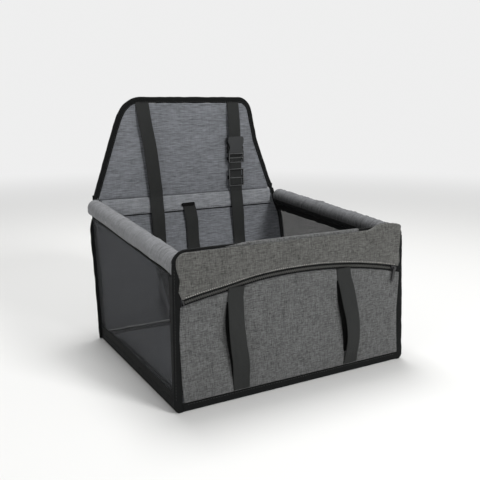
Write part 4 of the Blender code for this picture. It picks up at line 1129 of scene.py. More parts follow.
@dataclass(frozen=True)
class RoundedTop:
    """Panel outline with slanted sides and two rounded top corners."""
    foot: float
    top: float
    height: float
    radius: float

    @property
    def normal(self) -> Array:
        """Outward direction of the right side, as across and up."""
        return unit(np.array((self.height, self.foot - self.top)))

    @property
    def corner(self) -> tuple[float, float]:
        """Middle of the right corner's round."""
        normal = self.normal
        return self.top - self.radius * (1 - normal[1]) / normal[0], self.height - self.radius

    def half_width(self, up: Array) -> Array:
        """Half of the panel's width at each height.

        Args:
            up: Heights.

        Returns:
            Half widths: the slanted side's, or the corner's round above it.
        """
        normal = self.normal
        across, middle = self.corner
        along_side = self.foot - up * normal[1] / normal[0]
        above = np.clip(up - middle, -self.radius, self.radius)
        round_part = across + np.sqrt(self.radius**2 - above**2)
        return np.where(up > middle + self.radius * normal[1], round_part, along_side)

    def edge(self, start: float, side_steps: int, turn_steps: int,
             top_steps: int) -> tuple[Array, Array]:
        """Points along the edge, from the left foot to the right, and outward directions.

        Args:
            start: Height of the first and last points.
            side_steps: Points on each side.
            turn_steps: Points on each corner.
            top_steps: Points along the top.

        Returns:
            Points and directions, each n by 2.
        """
        normal = self.normal
        across, middle = self.corner
        turns = np.linspace(math.atan2(normal[1], normal[0]), math.pi / 2, turn_steps)
        turned = np.stack([np.cos(turns), np.sin(turns)], axis=1)
        arc = np.array((across, middle)) + self.radius * turned
        heights = np.linspace(start, arc[0, 1], side_steps, endpoint=False)
        side = np.stack([self.half_width(heights), heights], axis=1)
        top_across = np.linspace(arc[-1, 0], -arc[-1, 0], top_steps + 2)[1:-1]
        top = np.stack([top_across, np.full_like(top_across, self.height)], axis=1)
        right = np.concatenate([side, arc])
        right_normals = np.concatenate([np.broadcast_to(normal, side.shape), turned])
        mirror = np.array((-1.0, 1.0))
        points = np.concatenate([right, top, right[::-1] * mirror])[::-1]
        normals = np.concatenate([right_normals, np.broadcast_to((0.0, 1.0), top.shape),
                                  right_normals[::-1] * mirror])[::-1]
        return points, normals


def bound_edge(panel: Panel, points: Array, normals: Array, width: Array | float,
               thickness: float, face: float, seed: int = 3) -> list[Patch]:
    """Folded binding tape along an edge.

    The middle of the tape is half its width outside the edge. Its width and thickness swell and
    shrink a little along it, as a sewn tape does.

    Args:
        panel: The panel whose edge it binds.
        points: The edge as distances across and up.
        normals: Outward directions at those points.
        width: Width of the tape outside the edge.
        thickness: Thickness of the whole fold.
        face: Distance from the panel's face to the tape's outer side.
        seed: Seed of the swelling.

    Returns:
        Patches of the closed tape.
    """
    width = np.broadcast_to(width, len(points))
    middle = points + normals * (GAP / 2 + width[:, None] / 2)
    centre = panel.place(middle[:, 0], middle[:, 1], face - thickness / 2)
    across = normals[:, :1] * panel.across + normals[:, 1:] * panel.up
    length = run_length(centre)
    swell = Ripples(0.035, 0.012, 0.045, seed=seed).at(length, 0.0)
    return sweep(soft_section(0.5, thickness / 2, 0.42), centre, across, panel.out,
                 (width + GAP) * (1 + swell), 1 + 1.2 * swell)


def foot_tape(side: str, centre: Array, length: Array, half: float, up: Array, out: Array,
              seed: int) -> None:
    """Tape along one side of the base, a little uneven in its thickness.

    Args:
        side: The side's word in the piece's name.
        centre: Middle of the tape.
        length: Distance along it.
        half: Half its width.
        up: Direction of its width.
        out: Direction out of the base.
        seed: Seed of its unevenness.
    """
    swell = 1 + Ripples(0.02, 0.015, 0.05, seed=seed).at(length, 0.0)
    make("base_binding_" + side,
         sweep(soft_section(half, PLAN.seam_thickness / 2, 0.4), centre, up, out, 1.0, swell),
         TAPE)


def corner_foot(panel: Panel) -> float:
    """Height on a leaning panel at which the foot of its corner's tape just clears the ground."""
    return PLAN.seam_thickness * panel.out[2] / panel.up[2] + PLAN.ground_clear


def corner_binding(wall: str, side: Side, panel: Panel, height: Array, edge: Array,
                   width: Array, seed: int) -> None:
    """Folded tape up one corner of the front or back wall.

    Args:
        wall: The wall's word in the piece's name.
        side: Which of its two corners.
        panel: The wall's panel.
        height: Heights of the tape's points.
        edge: Half width of the wall at those heights.
        width: Width of the tape there.
        seed: Seed of its swelling, to which the side's number is added.
    """
    points = np.stack([side.value * edge, height], axis=1)
    normals = np.broadcast_to((float(side.value), 0.0), points.shape)
    make(f"corner_binding_{wall}_{side.word}",
         bound_edge(panel, points, normals, width, PLAN.seam_thickness, GAP, seed + side.value),
         TAPE)


def webbing(name: str, centre: Array, side: Array,
            body: Body | None = Body.BASKET) -> bpy.types.Object:
    """A length of the seat's webbing through the centre points, flat along the side direction."""
    return make(name, strap(centre, side, PLAN.webbing_width, PLAN.webbing_thickness), WEBBING,
                body)


def bend_with_flap(piece: bpy.types.Object, reach: float, across: float = 0.0) -> None:
    """Bake the piece's place into its mesh; its points at the reach below the rim and up the flap
    are worked out and left unused.
    """
    tuple(BACK.place(across, BACK.rise - reach, 0.0))
    tuple(FLAP.place(across, reach, 0.0))
    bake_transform(piece)


# Sub-assemblies


@dataclass
class Studio:
    """Camera, floor, lamps and backdrop."""
    camera_place: tuple[float, float, float] = (-0.510, -0.890, 0.404)
    camera_turn: tuple[float, float, float] = (77.908, 0.0, -29.348)
    lens: float = 48.82
    floor_reach: float = 12.0
    floor_tone: Colour = (0.80, 0.80, 0.79)
    backdrop: Colour = (0.86, 0.86, 0.86)
    sky: float = 0.31
    floor_drop: float = 0.0004
    melt: tuple[float, float] = (0.8, 3.0)
    aim_height: float = 0.15
    lamps: tuple = (("key", (0.85, -2.20, 1.65), 0.70, 46.0),
                    ("fill", (-2.1, -0.7, 0.45), 1.2, 11.0),
                    ("top", (0.2, 0.6, 2.2), 1.0, 36.0))

    def build(self) -> None:
        """Set the view and light the object plainly."""
        scene = bpy.context.scene
        scene.view_settings.view_transform = "Standard"
        data = bpy.data.cameras.new("camera")
        data.lens = self.lens
        data.sensor_width = 36.0
        camera = bpy.data.objects.new("camera", data)
        camera.location = self.camera_place
        camera.rotation_euler = [math.radians(turn) for turn in self.camera_turn]
        scene.collection.objects.link(camera)
        scene.camera = camera
        self.floor()
        self.world(scene)
        for lamp in self.lamps:
            self.lamp(*lamp)

    def lamp(self, name: str, place: tuple[float, float, float], size: float,
             power: float) -> None:
        """One soft square lamp that looks at the object.

        Args:
            name: The lamp's name.
            place: Where it stands.
            size: Length of its side.
            power: Its power in watts.
        """
        data = bpy.data.lights.new(name, "AREA")
        data.size = size
        data.energy = power
        lamp = bpy.data.objects.new(name, data)
        lamp.location = place
        aim = Vector((0.0, 0.0, self.aim_height)) - Vector(place)
        lamp.rotation_euler = aim.to_track_quat("-Z", "Y").to_euler()
        bpy.context.scene.collection.objects.link(lamp)

    def seen(self, bench: Bench) -> Channel:
        """One for rays that look at the backdrop: from the camera, or through gloss or glass.

        Args:
            bench: Bench of the material that asks.

        Returns:
            One or zero for each ray.
        """
        path = bench.node("ShaderNodeLightPath")
        rays = [Channel(bench, path.outputs[name]) for name in
                ("Is Camera Ray", "Is Glossy Ray", "Is Transmission Ray")]
        return rays[0].larger(rays[1]).larger(rays[2])

    def floor(self) -> None:
        """Pale floor that melts into the backdrop far away and keeps the object's shadow."""
        share = np.linspace(-self.floor_reach, self.floor_reach, 9)
        across, along = np.meshgrid(share, share)
        points = np.stack([across, along, 0 * across - self.floor_drop], axis=-1)
        floor = mesh_piece("floor", *joined([lay(points, across, along)]))
        if floor.data.polygons[0].normal.z < 0:
            floor.data.flip_normals()
        bench = Bench(bpy.data.materials.new("pale_floor"))
        x, y, _ = bench.place()
        far = ((x * x + y * y) ** 0.5).rise(*self.melt)
        near_shader = bench.node("ShaderNodeBsdfDiffuse", None, {"Color": self.floor_tone})
        far_shader = bench.node("ShaderNodeEmission", None, {"Color": self.backdrop})
        mixed = bench.node("ShaderNodeMixShader", None, {0: far * self.seen(bench),
                                                         1: near_shader.outputs[0],
                                                         2: far_shader.outputs[0]})
        bench.node("ShaderNodeOutputMaterial", None, {0: mixed.outputs[0]})
        floor.data.materials.append(bench.owner)

    def world(self, scene: bpy.types.Scene) -> None:
        """Even pale sky that lights softly and shows as a pale backdrop.

        Args:
            scene: The scene that gets the sky.
        """
        scene.world = bpy.data.worlds.new("studio")
        bench = Bench(scene.world)
        light = bench.node("ShaderNodeBackground", None,
                           {"Color": (1.0, 1.0, 1.0), "Strength": self.sky})
        shown = bench.node("ShaderNodeBackground", None, {"Color": self.backdrop})
        mixed = bench.node("ShaderNodeMixShader", None,
                           {0: self.seen(bench), 1: light.outputs[0], 2: shown.outputs[0]})
        bench.node("ShaderNodeOutputWorld", None, {0: mixed.outputs[0]})


@dataclass
class FrontWall:
    """Front wall: padded upper panel, zip pocket, lining, hem and bindings."""
    zip_peak: float = 0.170
    zip_radius: float = 0.780
    zip_reveal: float = 0.0045
    tape_width: float = 0.0084
    coil_width: float = 0.0046
    cloth_over_tape: float = 0.00045
    cloth_rise: float = 0.0018
    upper_puff: float = 0.0022
    bead: float = 0.0005
    pocket_puff: float = 0.0012
    hem_start: float = -0.118
    hem_end: float = 0.106
    arc_sag: float = 0.0022
    sag_place: float = -0.120
    sag_width: float = 0.040
    side_round: float = 0.0030
    border_round: float = 0.0022
    bead_place: float = 0.0016
    bead_width: float = 0.0010
    calm_margin: float = 0.020
    tuck_side: float = 0.0015
    tuck_top: float = 0.0012
    tuck_step: float = 0.0010
    foot_cut: float = 0.008
    left_round: float = 0.013
    left_round_start: float = 0.0066
    pocket_half_height: float = 0.09
    pocket_spread: float = 0.0006
    lining_drop: float = 0.0006
    lining_inset: float = 0.0004
    lining_size: tuple[float, float] = (0.36, 0.2)
    lining_rounds: tuple[float, float] = (0.006, 0.004)
    lining_swell: float = 0.0002
    stitch_reach: float = 0.178
    stitch_inset: float = 0.0021
    foot_stitch_reach: float = 0.180
    foot_stitch_inset: float = 0.0022
    corner_stitch_ends: tuple[float, float] = (0.018, 0.196)
    corner_stitch_place: float = 0.0098
    hem_taper: float = 0.050
    hem_drop: float = 0.0022
    hem_depth: float = 0.0016
    hem_half: tuple[float, float] = (0.0030, 0.0036)
    tape_thickness: float = 0.0009
    tooth_pitch: float = 0.0016
    tooth_shift: float = 0.00045
    tooth_height: float = 0.00060
    tooth_margin: float = 0.004
    tooth_half: tuple[float, float] = (0.00074, 0.00062)
    arch: Table = ((0.118, 0.0), (0.126, 0.0004), (0.133, 0.0028), (0.140, 0.0056),
                   (0.147, 0.0068), (0.160, 0.0070), (0.173, 0.0062), (0.183, 0.0044),
                   (0.188, 0.0024), (0.1905, -0.0012))
    left_overlap: Table = ((0.0, 0.0), (0.2, 0.0042), (0.45, 0.0020), (0.7, 0.0055),
                           (0.9, 0.0068), (1.0, 0.0066))
    right_overlap: Table = ((0.0, 0.0030), (0.12, 0.0062), (0.4, 0.0050), (0.7, 0.0068),
                            (1.0, 0.0078))
    pocket_left: Table = ((0.0, -0.0010), (0.15, 0.0012), (0.4, 0.0022), (0.7, 0.0030),
                          (1.0, 0.0004))
    pocket_right: Table = ((0.0, 0.0018), (0.2, 0.0004), (0.55, -0.0008), (0.85, 0.0022),
                           (1.0, 0.0032))

    @property
    def outline(self) -> RoundedTop:
        """Outline of the front panel inside its binding."""
        return RoundedTop(PLAN.panel_foot, PLAN.panel_foot - PLAN.side_lean,
                          FRONT.rise - PLAN.top_seam_width, PLAN.front_corner_radius)

    def zip_height(self, across: Array) -> Array:
        """Height of the zip's middle line.

        It is a flat arc that peaks at the panel's middle, and sags a little halfway along its
        left part, where the sewn curve is less even.

        Args:
            across: Distances to the right of the wall's middle.

        Returns:
            Heights up the wall.
        """
        across = np.asarray(across, float)
        sag = self.arc_sag * bell(across, self.sag_place, self.sag_width)
        return self.zip_peak - self.zip_radius + np.sqrt(self.zip_radius**2 - across**2) - sag

    def lift(self, across: Array) -> Array:
        """How far the panel's top rises where it is stretched over the right rail's end.

        Args:
            across: Distances to the right of the wall's middle.

        Returns:
            Rises above the straight top.
        """
        points = np.array(self.arch)
        curve = smooth_route(np.column_stack([points, np.zeros(len(points))]), 80)
        return np.interp(across, curve[:, 0], curve[:, 1])

    def build(self) -> None:
        """Build every piece of the front wall."""
        self.upper_panel()
        self.pocket_panel()
        self.lining()
        self.bindings()
        self.hem()
        self.zip()
        self.stitching()

    def panel(self, name: str, left: Table, right: Table, low: Callable[[Array], Array],
              high: Callable[[Array], Array], half: float, puff: float,
              ripples: Sequence[Ripples], rows: int) -> None:
        """One puffed cloth panel between its side edges and two curved borders.

        The face stands out by the cloth's thickness through a quarter round at every edge, plus a
        puff that falls to nothing at the edges, plus ripples.

        Args:
            name: The piece's name, that of the node that it replaces.
            left: How far its left edge overlaps the binding, at shares of its height.
            right: The same on the right.
            low: Function of the distance across that gives its lower border.
            high: Function that gives its upper border.
            half: Half width between the bindings.
            puff: How far its middle stands proud.
            ripples: Unevenness of its face.
            rows: Rows of its grid.
        """
        up_share = ease(np.linspace(0, 1, rows))[:, None]
        share = ease(np.linspace(0, 1, 181))[None, :]
        left_edge = -half - read_off(left, up_share)
        right_edge = half + read_off(right, up_share)
        across = left_edge + (right_edge - left_edge) * share
        foot, top = low(across), high(across)
        up = foot + (top - foot) * up_share
        sides = np.minimum(across - left_edge, right_edge - across)
        rounds = round_edge(sides, self.side_round) * round_edge(up - foot, self.border_round) \
            * round_edge(top - up, self.border_round)
        bead = self.bead * bell(top - up, self.bead_place, self.bead_width)
        fullness = (1 - (2 * share - 1)**8) * (1 - (2 * up_share - 1)**4)
        waves = sum(ripple.at(across, up) for ripple in ripples)
        margin = np.minimum(sides, np.minimum(up - foot, top - up))
        calm = round_edge(margin, self.calm_margin)
        out = self.cloth_over_tape + (self.cloth_rise + bead) * rounds + puff * fullness \
            + waves * (0.25 + 0.75 * calm) * rounds
        inside = step_up(half - self.tuck_side - np.abs(across), 0.0, self.tuck_step) \
            * step_up(self.outline.height - self.tuck_top - up, 0.0, self.tuck_step)
        rear = self.cloth_over_tape - (self.cloth_over_tape + PLAN.outer_cloth) * inside
        patches = FRONT.cloth(across, up, out, rear)
        padded = puff > self.pocket_puff
        piece = make(name, patches, HEATHER_WARM if padded else HEATHER)
        if padded:
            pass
        else:
            area_of(patches[0].points)

    def upper_panel(self) -> None:
        """Padded panel above the zip, its sides bulging over the corner bindings."""
        outline = self.outline
        half = float(outline.half_width(self.zip_height(0.0)))
        corner = self.left_round

        def top(across: Array) -> Array:
            """Upper border: the straight top, rounded at its left end and lifted at its right."""
            over = np.clip((-across - half - self.left_round_start + corner) / corner, 0, 1)
            return outline.height - corner * (1 - np.sqrt(1 - 0.97 * over * over)) \
                + self.lift(across)

        self.panel("front_upper_panel", self.left_overlap, self.right_overlap,
                   lambda across: self.zip_height(across) + self.zip_reveal, top, half,
                   self.upper_puff, (Ripples(0.00035, 0.018, 0.060, (1.0, 0.7), seed=11),
                                     Ripples(0.00012, 0.006, 0.012, (1.6, 0.4), seed=12)), 45)

    def pocket_panel(self) -> None:
        """Pocket's cloth below the zip."""
        half = float(self.outline.half_width(self.pocket_half_height)) + self.pocket_spread
        self.panel("front_pocket_panel", self.pocket_left, self.pocket_right,
                   lambda across: PLAN.cloth_foot + 0 * across,
                   lambda across: self.zip_height(across) - self.zip_reveal, half,
                   self.pocket_puff, (Ripples(0.00030, 0.030, 0.110, (1.0, 0.5), seed=21),
                                      Ripples(0.00010, 0.008, 0.016, (1.4, 0.5), seed=22)), 60)

    def lining(self) -> None:
        """Grey lining on the basket's inner side."""
        outline = self.outline
        share = ease(np.linspace(0, 1, 120))[None, :]
        up_share = np.linspace(0, 1, 50)[:, None]
        low = PLAN.cloth_foot
        up = low + (outline.height - self.lining_drop - low) * up_share
        across = (2 * share - 1) * (outline.half_width(up) - self.lining_inset)
        ripples = Ripples(0.00035, 0.03, 0.10, seed=31).at(across, up)
        wide, tall = self.lining_size
        edge = round_edge(np.minimum(share, 1 - share) * wide, self.lining_rounds[0]) \
            * round_edge(np.minimum(up_share, 1 - up_share) * tall, self.lining_rounds[1])
        rear = -PLAN.outer_cloth - GAP - PLAN.lining_cloth * (0.5 + 0.5 * edge) \
            + np.minimum(ripples, self.lining_swell) * edge
        make("front_lining", FRONT.cloth(across, up, -PLAN.outer_cloth - GAP, rear), SLATE)

    def bindings(self) -> None:
        """Tape over the top edge and up the two front corners."""
        outline = self.outline
        start = outline.corner[1] - PLAN.seam_thickness
        points, normals = outline.edge(start + GAP, 5, 16, 70)
        width = PLAN.seam_width + (PLAN.top_seam_width - PLAN.seam_width) \
            * np.clip(normals[:, 1], 0, 1)
        make("front_top_binding", bound_edge(FRONT, points, normals, width,
                                             PLAN.seam_thickness, GAP, 5), TAPE)
        for side in Side:
            height = np.linspace(corner_foot(FRONT), start, 70)
            cut = np.clip(1 - height / self.foot_cut, 0, 1)**2
            corner_binding("front", side, FRONT, height, outline.half_width(height),
                           PLAN.seam_width * (1 - 0.5 * cut), 7)

    def hem(self) -> None:
        """Cloth turned over the top binding, from the tether's side to the right corner."""
        across = np.linspace(self.hem_start, self.hem_end, 130)
        start = step_up(across, self.hem_start, self.hem_start + self.hem_taper)
        waves = Ripples(0.00025, 0.02, 0.06, seed=41).at(across, 0.0)
        up = FRONT.rise - self.hem_drop + waves * 0.6
        centre = FRONT.place(across, up, -self.hem_depth + waves)
        make("front_hem", sweep(soft_section(*self.hem_half, 0.8), centre, FRONT.up,
                                FRONT.out, 0.45 + 0.55 * start, 0.55 + 0.45 * start),
             HEATHER)

    def zip(self) -> None:
        """Zip tape and the two rows of teeth along the arc."""
        reach = float(self.outline.half_width(self.zip_height(0.0))) - GAP
        across = np.linspace(-reach, reach, 200)[None, :]
        share = np.linspace(-0.5, 0.5, 9)[:, None]
        up = self.zip_height(across) + share * self.tape_width
        ripple = Ripples(0.00008, 0.01, 0.03, seed=51).at(across, up)
        make("zip_tape", FRONT.cloth(across, up, -GAP + np.minimum(ripple, 0.0),
                                     -GAP - self.tape_thickness), TAPE)
        reach = reach - self.tooth_margin
        place = np.arange(-reach, reach, self.tooth_pitch)
        shift = np.where(np.arange(len(place)) % 2 == 0, 1, -1) * self.tooth_shift
        centre = FRONT.place(place, self.zip_height(place) + shift, self.tooth_height)
        arrays = repeated(grain(), centre, np.broadcast_to(FRONT.up, centre.shape),
                          np.broadcast_to(FRONT.out, centre.shape),
                          np.array((self.coil_width / 2 - GAP, *self.tooth_half)))
        dress(mesh_piece("zip_coil", *arrays), ZIP_NYLON)

    def stitching(self) -> None:
        """Pale stitches above the zip and dark ones along the bindings."""
        across = np.linspace(-self.stitch_reach, self.stitch_reach, 240)
        path = FRONT.place(across, self.zip_height(across) + self.zip_reveal + self.stitch_inset,
                           self.cloth_over_tape + self.cloth_rise + GAP)
        sew("zip_stitches", path, FRONT.out, thread=PALE_THREAD, pitch=0.0032,
            stitch=0.0019, radius=0.00072)
        across = np.linspace(-self.foot_stitch_reach, self.foot_stitch_reach, 120)
        path = FRONT.place(across, PLAN.seam_width - self.foot_stitch_inset, PLAN.stitch_face)
        sew("foot_stitches", path, FRONT.out)
        for side in Side:
            height = np.linspace(*self.corner_stitch_ends, 90)
            place = side.value * (self.outline.half_width(height) + self.corner_stitch_place)
            sew("corner_stitches_" + side.word,
                FRONT.place(place, height, PLAN.stitch_face), FRONT.out)


def area_of(grid: Array) -> float:
    """Area of a grid of points: half the cross products of its squares' diagonals, summed.

    Args:
        grid: Rows by columns by 3.

    Returns:
        Square metres.
    """
    first = grid[1:, 1:] - grid[:-1, :-1]
    second = grid[1:, :-1] - grid[:-1, 1:]
    return float(np.linalg.norm(np.cross(first, second), axis=-1).sum() / 2)


@dataclass
class PocketLoops:
    """Two loose webbing loops sewn in under the zip and at the foot."""
    pocket_bulge: float = 0.0022
    pocket_face: float = 0.0019
    ply_face: float = 0.0004
    ply_inset: float = 0.001
    ply_thickness: float = 0.0009
    twist: float = 0.10
    ply_shift: dict = field(default_factory=lambda: {Side.LEFT: 0.0012, Side.RIGHT: 0.0034})
    routes: dict = field(default_factory=lambda: {
        Side.LEFT: ((-0.1022, 0.1600, 0.0003), (-0.1043, 0.1495, 0.0008),
                    (-0.1070, 0.1320, 0.0048), (-0.1085, 0.1120, 0.0080),
                    (-0.1065, 0.0850, 0.0080), (-0.1020, 0.0560, 0.0064),
                    (-0.0990, 0.0310, 0.0024), (-0.0975, 0.0150, 0.0003)),
        Side.RIGHT: ((0.0775, 0.1632, 0.0003), (0.0780, 0.1520, 0.0010),
                     (0.0795, 0.1340, 0.0050), (0.0820, 0.1120, 0.0080),
                     (0.0880, 0.0850, 0.0080), (0.0915, 0.0560, 0.0064),
                     (0.0920, 0.0310, 0.0024), (0.0910, 0.0150, 0.0003))})

    def build(self) -> None:
        """Build both loops off the pocket's puffed face, each with a near-black strip under it:
        painted shadow of the loop.
        """
        for side, route in self.routes.items():
            middle = smooth_route([(across, up, clear + PLAN.webbing_thickness / 2)
                                   for across, up, clear in route], 60)
            share = np.linspace(0, 1, len(middle))
            lift = self.pocket_bulge * np.sin(np.pi * np.clip(share * 1.3 - 0.15, 0, 1))**0.5 \
                + self.pocket_face
            centre = FRONT.place(middle[:, 0], middle[:, 1], middle[:, 2] + lift)
            turn = self.twist * np.sin(2 * np.pi * share)[:, None] * side.value
            across = FRONT.across + turn * FRONT.out
            webbing("pocket_loop_" + side.word, centre, across)
            # Near-black strip on the panel under the loop, a little to its left: painted shadow
            # that the loop casts.
            bow = np.sin(np.pi * np.clip(share, 0.03, 0.97))**0.6
            centre = FRONT.place(middle[:, 0] - self.ply_shift[side] * bow, middle[:, 1],
                                 lift + self.ply_face)
            make("pocket_loop_ply_" + side.word,
                 strap(centre, FRONT.across, PLAN.webbing_width - self.ply_inset,
                       self.ply_thickness), PAINTED_SHADE)


@dataclass
class BackWall:
    """Back wall: lining, outer cover, padded rim band with the tether's slot, bindings."""
    band_half: float = 0.1714
    band_puff: float = 0.0010
    band_foot: float = 0.0006
    band_round: float = 0.0042
    band_end_round: float = 0.003
    slot_width: float = 0.0272
    slot_height: float = 0.0062
    slot_place: tuple[float, float] = (-0.0096, 0.2196)
    slot_depth: float = 0.0006
    slot_tilt: float = 0.0004
    slot_clear: float = 0.0030
    seam_drop: float = 0.0008
    seam_face: float = 0.0004
    stitch_rise: float = 0.0026
    stitch_face: float = 0.0024
    seam_radius: float = 0.0009
    binding_bulge: float = 0.55
    binding_taper: float = 0.0042
    taper_heights: tuple[float, float] = (0.190, 0.224)
    fold_bend: float = 0.0065
    cloth_bend: float = 0.007
    fold_depths: tuple[float, float] = (0.0018, 0.0020)
    fold_thickness: float = 0.0022
    wall_steps: tuple[float, ...] = (-0.010, -0.006, -0.002)
    flap_steps: tuple[float, ...] = (0.001, 0.005, 0.009)
    fold_halves: tuple[float, float] = (0.0037, 0.0040)
    wall_edge_inset: float = 0.0039
    flap_half: float = 0.1775
    right_cut: float = 0.0060
    cloth_ends: tuple[float, float] = (-0.176, 0.171)
    cloth_reach: float = 0.008
    cloth_depth: float = 0.0040
    cloth_step: float = 0.0009
    cloth_shift: float = 0.0006
    cloth_thickness: float = 0.0008

    @property
    def high(self) -> float:
        """Distance up the wall to its top."""
        return BACK.rise - GAP

    def build(self) -> None:
        """Build every piece of the back wall."""
        self.layer("back_wall_lining", 0.0, PLAN.lining_cloth, 61)
        self.layer("back_wall_cover", -PLAN.lining_cloth - GAP, PLAN.cover_cloth, 62)
        self.band()
        self.bindings()
        self.hinge_cloth()
        self.fold_bindings()

    def layer(self, name: str, face: float, thickness: float, seed: int) -> None:
        """One layer of the wall, uneven within its own thickness on the side that shows.

        Args:
            name: The piece's name.
            face: Distance from the wall's face to the layer's.
            thickness: The layer's thickness.
            seed: Seed of its unevenness.
        """
        low = PLAN.cloth_foot
        share = ease(np.linspace(0, 1, 110))[None, :]
        up = low + (self.high - low) * np.linspace(0, 1, 90)[:, None]
        left, right = (PLAN.back_edge(side, up) for side in Side)
        across = (left + right) * share - left
        wave = Ripples(0.30, 0.03, 0.12, (0.6, 1.0), seed=seed).at(across, up)
        dip = thickness * 0.45 * np.clip(0.5 + wave, 0, 1)
        inner = face == 0
        patches = BACK.cloth(across, up, face - dip * inner,
                             face - thickness + dip * (not inner) * 0.8)
        piece = make(name, patches, SLATE)
        width = 2 * PLAN.panel_foot
        self.high - low
        min(area_of(patches[0].points), width * (self.high - low))

    def band(self) -> None:
        """Padded band along the rim: a flat pillow in a lighter cloth that paints light on it.

        A near-black patch paints the shade inside the tether's slot, and a black bar paints the
        shade in the slit under the band's foot.
        """
        share = ease(np.linspace(0, 1, 150))[None, :]
        up_share = ease(np.linspace(0, 1, 26))[:, None]
        foot = PLAN.band_low
        across = (2 * share - 1) * self.band_half
        up = foot + PLAN.band_height * up_share + 0 * across
        rounds = round_edge(np.minimum(up - foot, self.high - up), self.band_round) \
            * round_edge(self.band_half - np.abs(across), self.band_end_round)
        waves = Ripples(0.00022, 0.012, 0.05, (1.0, 0.4), seed=71).at(across, up)
        puff = self.band_puff * (1 - (2 * up_share - 1)**2)
        out = self.band_foot + PLAN.band_thickness * 0.78 * rounds + (waves + puff) * rounds
        piece = make("back_rim_band", BACK.cloth(across, up, out, GAP), LIT_BAND)
        # Near-black patch on the band: painted shade inside the tether's slot.
        place, height = self.slot_place
        line = np.linspace(-1, 1, 30)
        centre = BACK.place(place + line * self.slot_width / 2, height + self.slot_tilt * line,
                            PLAN.band_thickness + self.slot_clear)
        taper = np.clip(1 - np.abs(line)**16, 0.3, 1)
        section = soft_section(self.slot_height / 2, self.slot_depth, 0.35)
        make("tether_slot", sweep(section, centre, BACK.up, BACK.out, taper, taper), PAINTED_SHADE)
        # Black bar along the band's foot: painted shade in the slit between the band and the wall.
        across = np.linspace(-self.band_half, self.band_half, 160)
        make("band_seam_shade", round_bar(BACK.place(across, foot - self.seam_drop, self.seam_face),
                                    self.seam_radius), TAPE)
        across = across * 0.977
        sew("band_stitches", BACK.place(across, foot + self.stitch_rise, self.stitch_face),
            BACK.out, pitch=0.0038)

    def bindings(self) -> None:
        """Tape up the two back corners."""
        height = np.linspace(corner_foot(BACK), self.high, 80)
        for side in Side:
            edge = PLAN.back_edge(side, height)
            width = PLAN.seam_width - self.binding_bulge * (edge - PLAN.back_half_width(height)) \
                - self.binding_taper * step_up(height, *self.taper_heights)
            corner_binding("back", side, BACK, height, edge, width, 17)

    def fold_bindings(self) -> None:
        """Tape at both ends of the fold: the corner binding bends on into the flap's."""
        for side in Side:
            wall_edge = float(PLAN.back_half_width(self.high)) + self.wall_edge_inset
            flap_edge = self.flap_half + self.fold_halves[1] \
                - (self.right_cut if side is Side.RIGHT else 0.0)
            wall = [BACK.place(side.value * wall_edge, BACK.rise + step,
                               -self.fold_depths[0]) for step in self.wall_steps]
            flap = [FLAP.place(side.value * flap_edge, step, -self.fold_depths[1])
                    for step in self.flap_steps]
            centre = smooth_route([*wall, *flap], 26)
            share = np.linspace(0, 1, len(centre))
            half = self.fold_halves[0] * (1 - share) + self.fold_halves[1] * share
            piece = make("fold_binding_" + side.word,
                         sweep(soft_section(1.0, self.fold_thickness, 0.42), centre, FLAP.across,
                               FLAP.out, half, 1.0), TAPE, body=None)
            bend_with_flap(piece, self.fold_bend)

    def hinge_cloth(self) -> None:
        """Strip behind the fold that joins the wall to the flap."""
        across = np.linspace(*self.cloth_ends, 60)[None, :]
        below = np.linspace(-self.cloth_reach, 0, 9)[:-1]
        above = np.linspace(0, self.cloth_reach, 9)
        lower = [BACK.place(across[0], BACK.rise + step, -self.cloth_depth) for step in below]
        upper = [FLAP.place(across[0], step, -self.cloth_depth - self.cloth_step)
                 for step in above]
        centre = np.stack(lower + upper)
        centre[:, :, 1] += self.cloth_shift
        up = np.concatenate([below, above])[:, None]
        rear = centre + np.array((0.0, self.cloth_thickness, 0.0))
        piece = make("fold_cloth", slab(lay(centre, across, up), rear), SLATE, body=None)
        bend_with_flap(piece, self.cloth_bend)


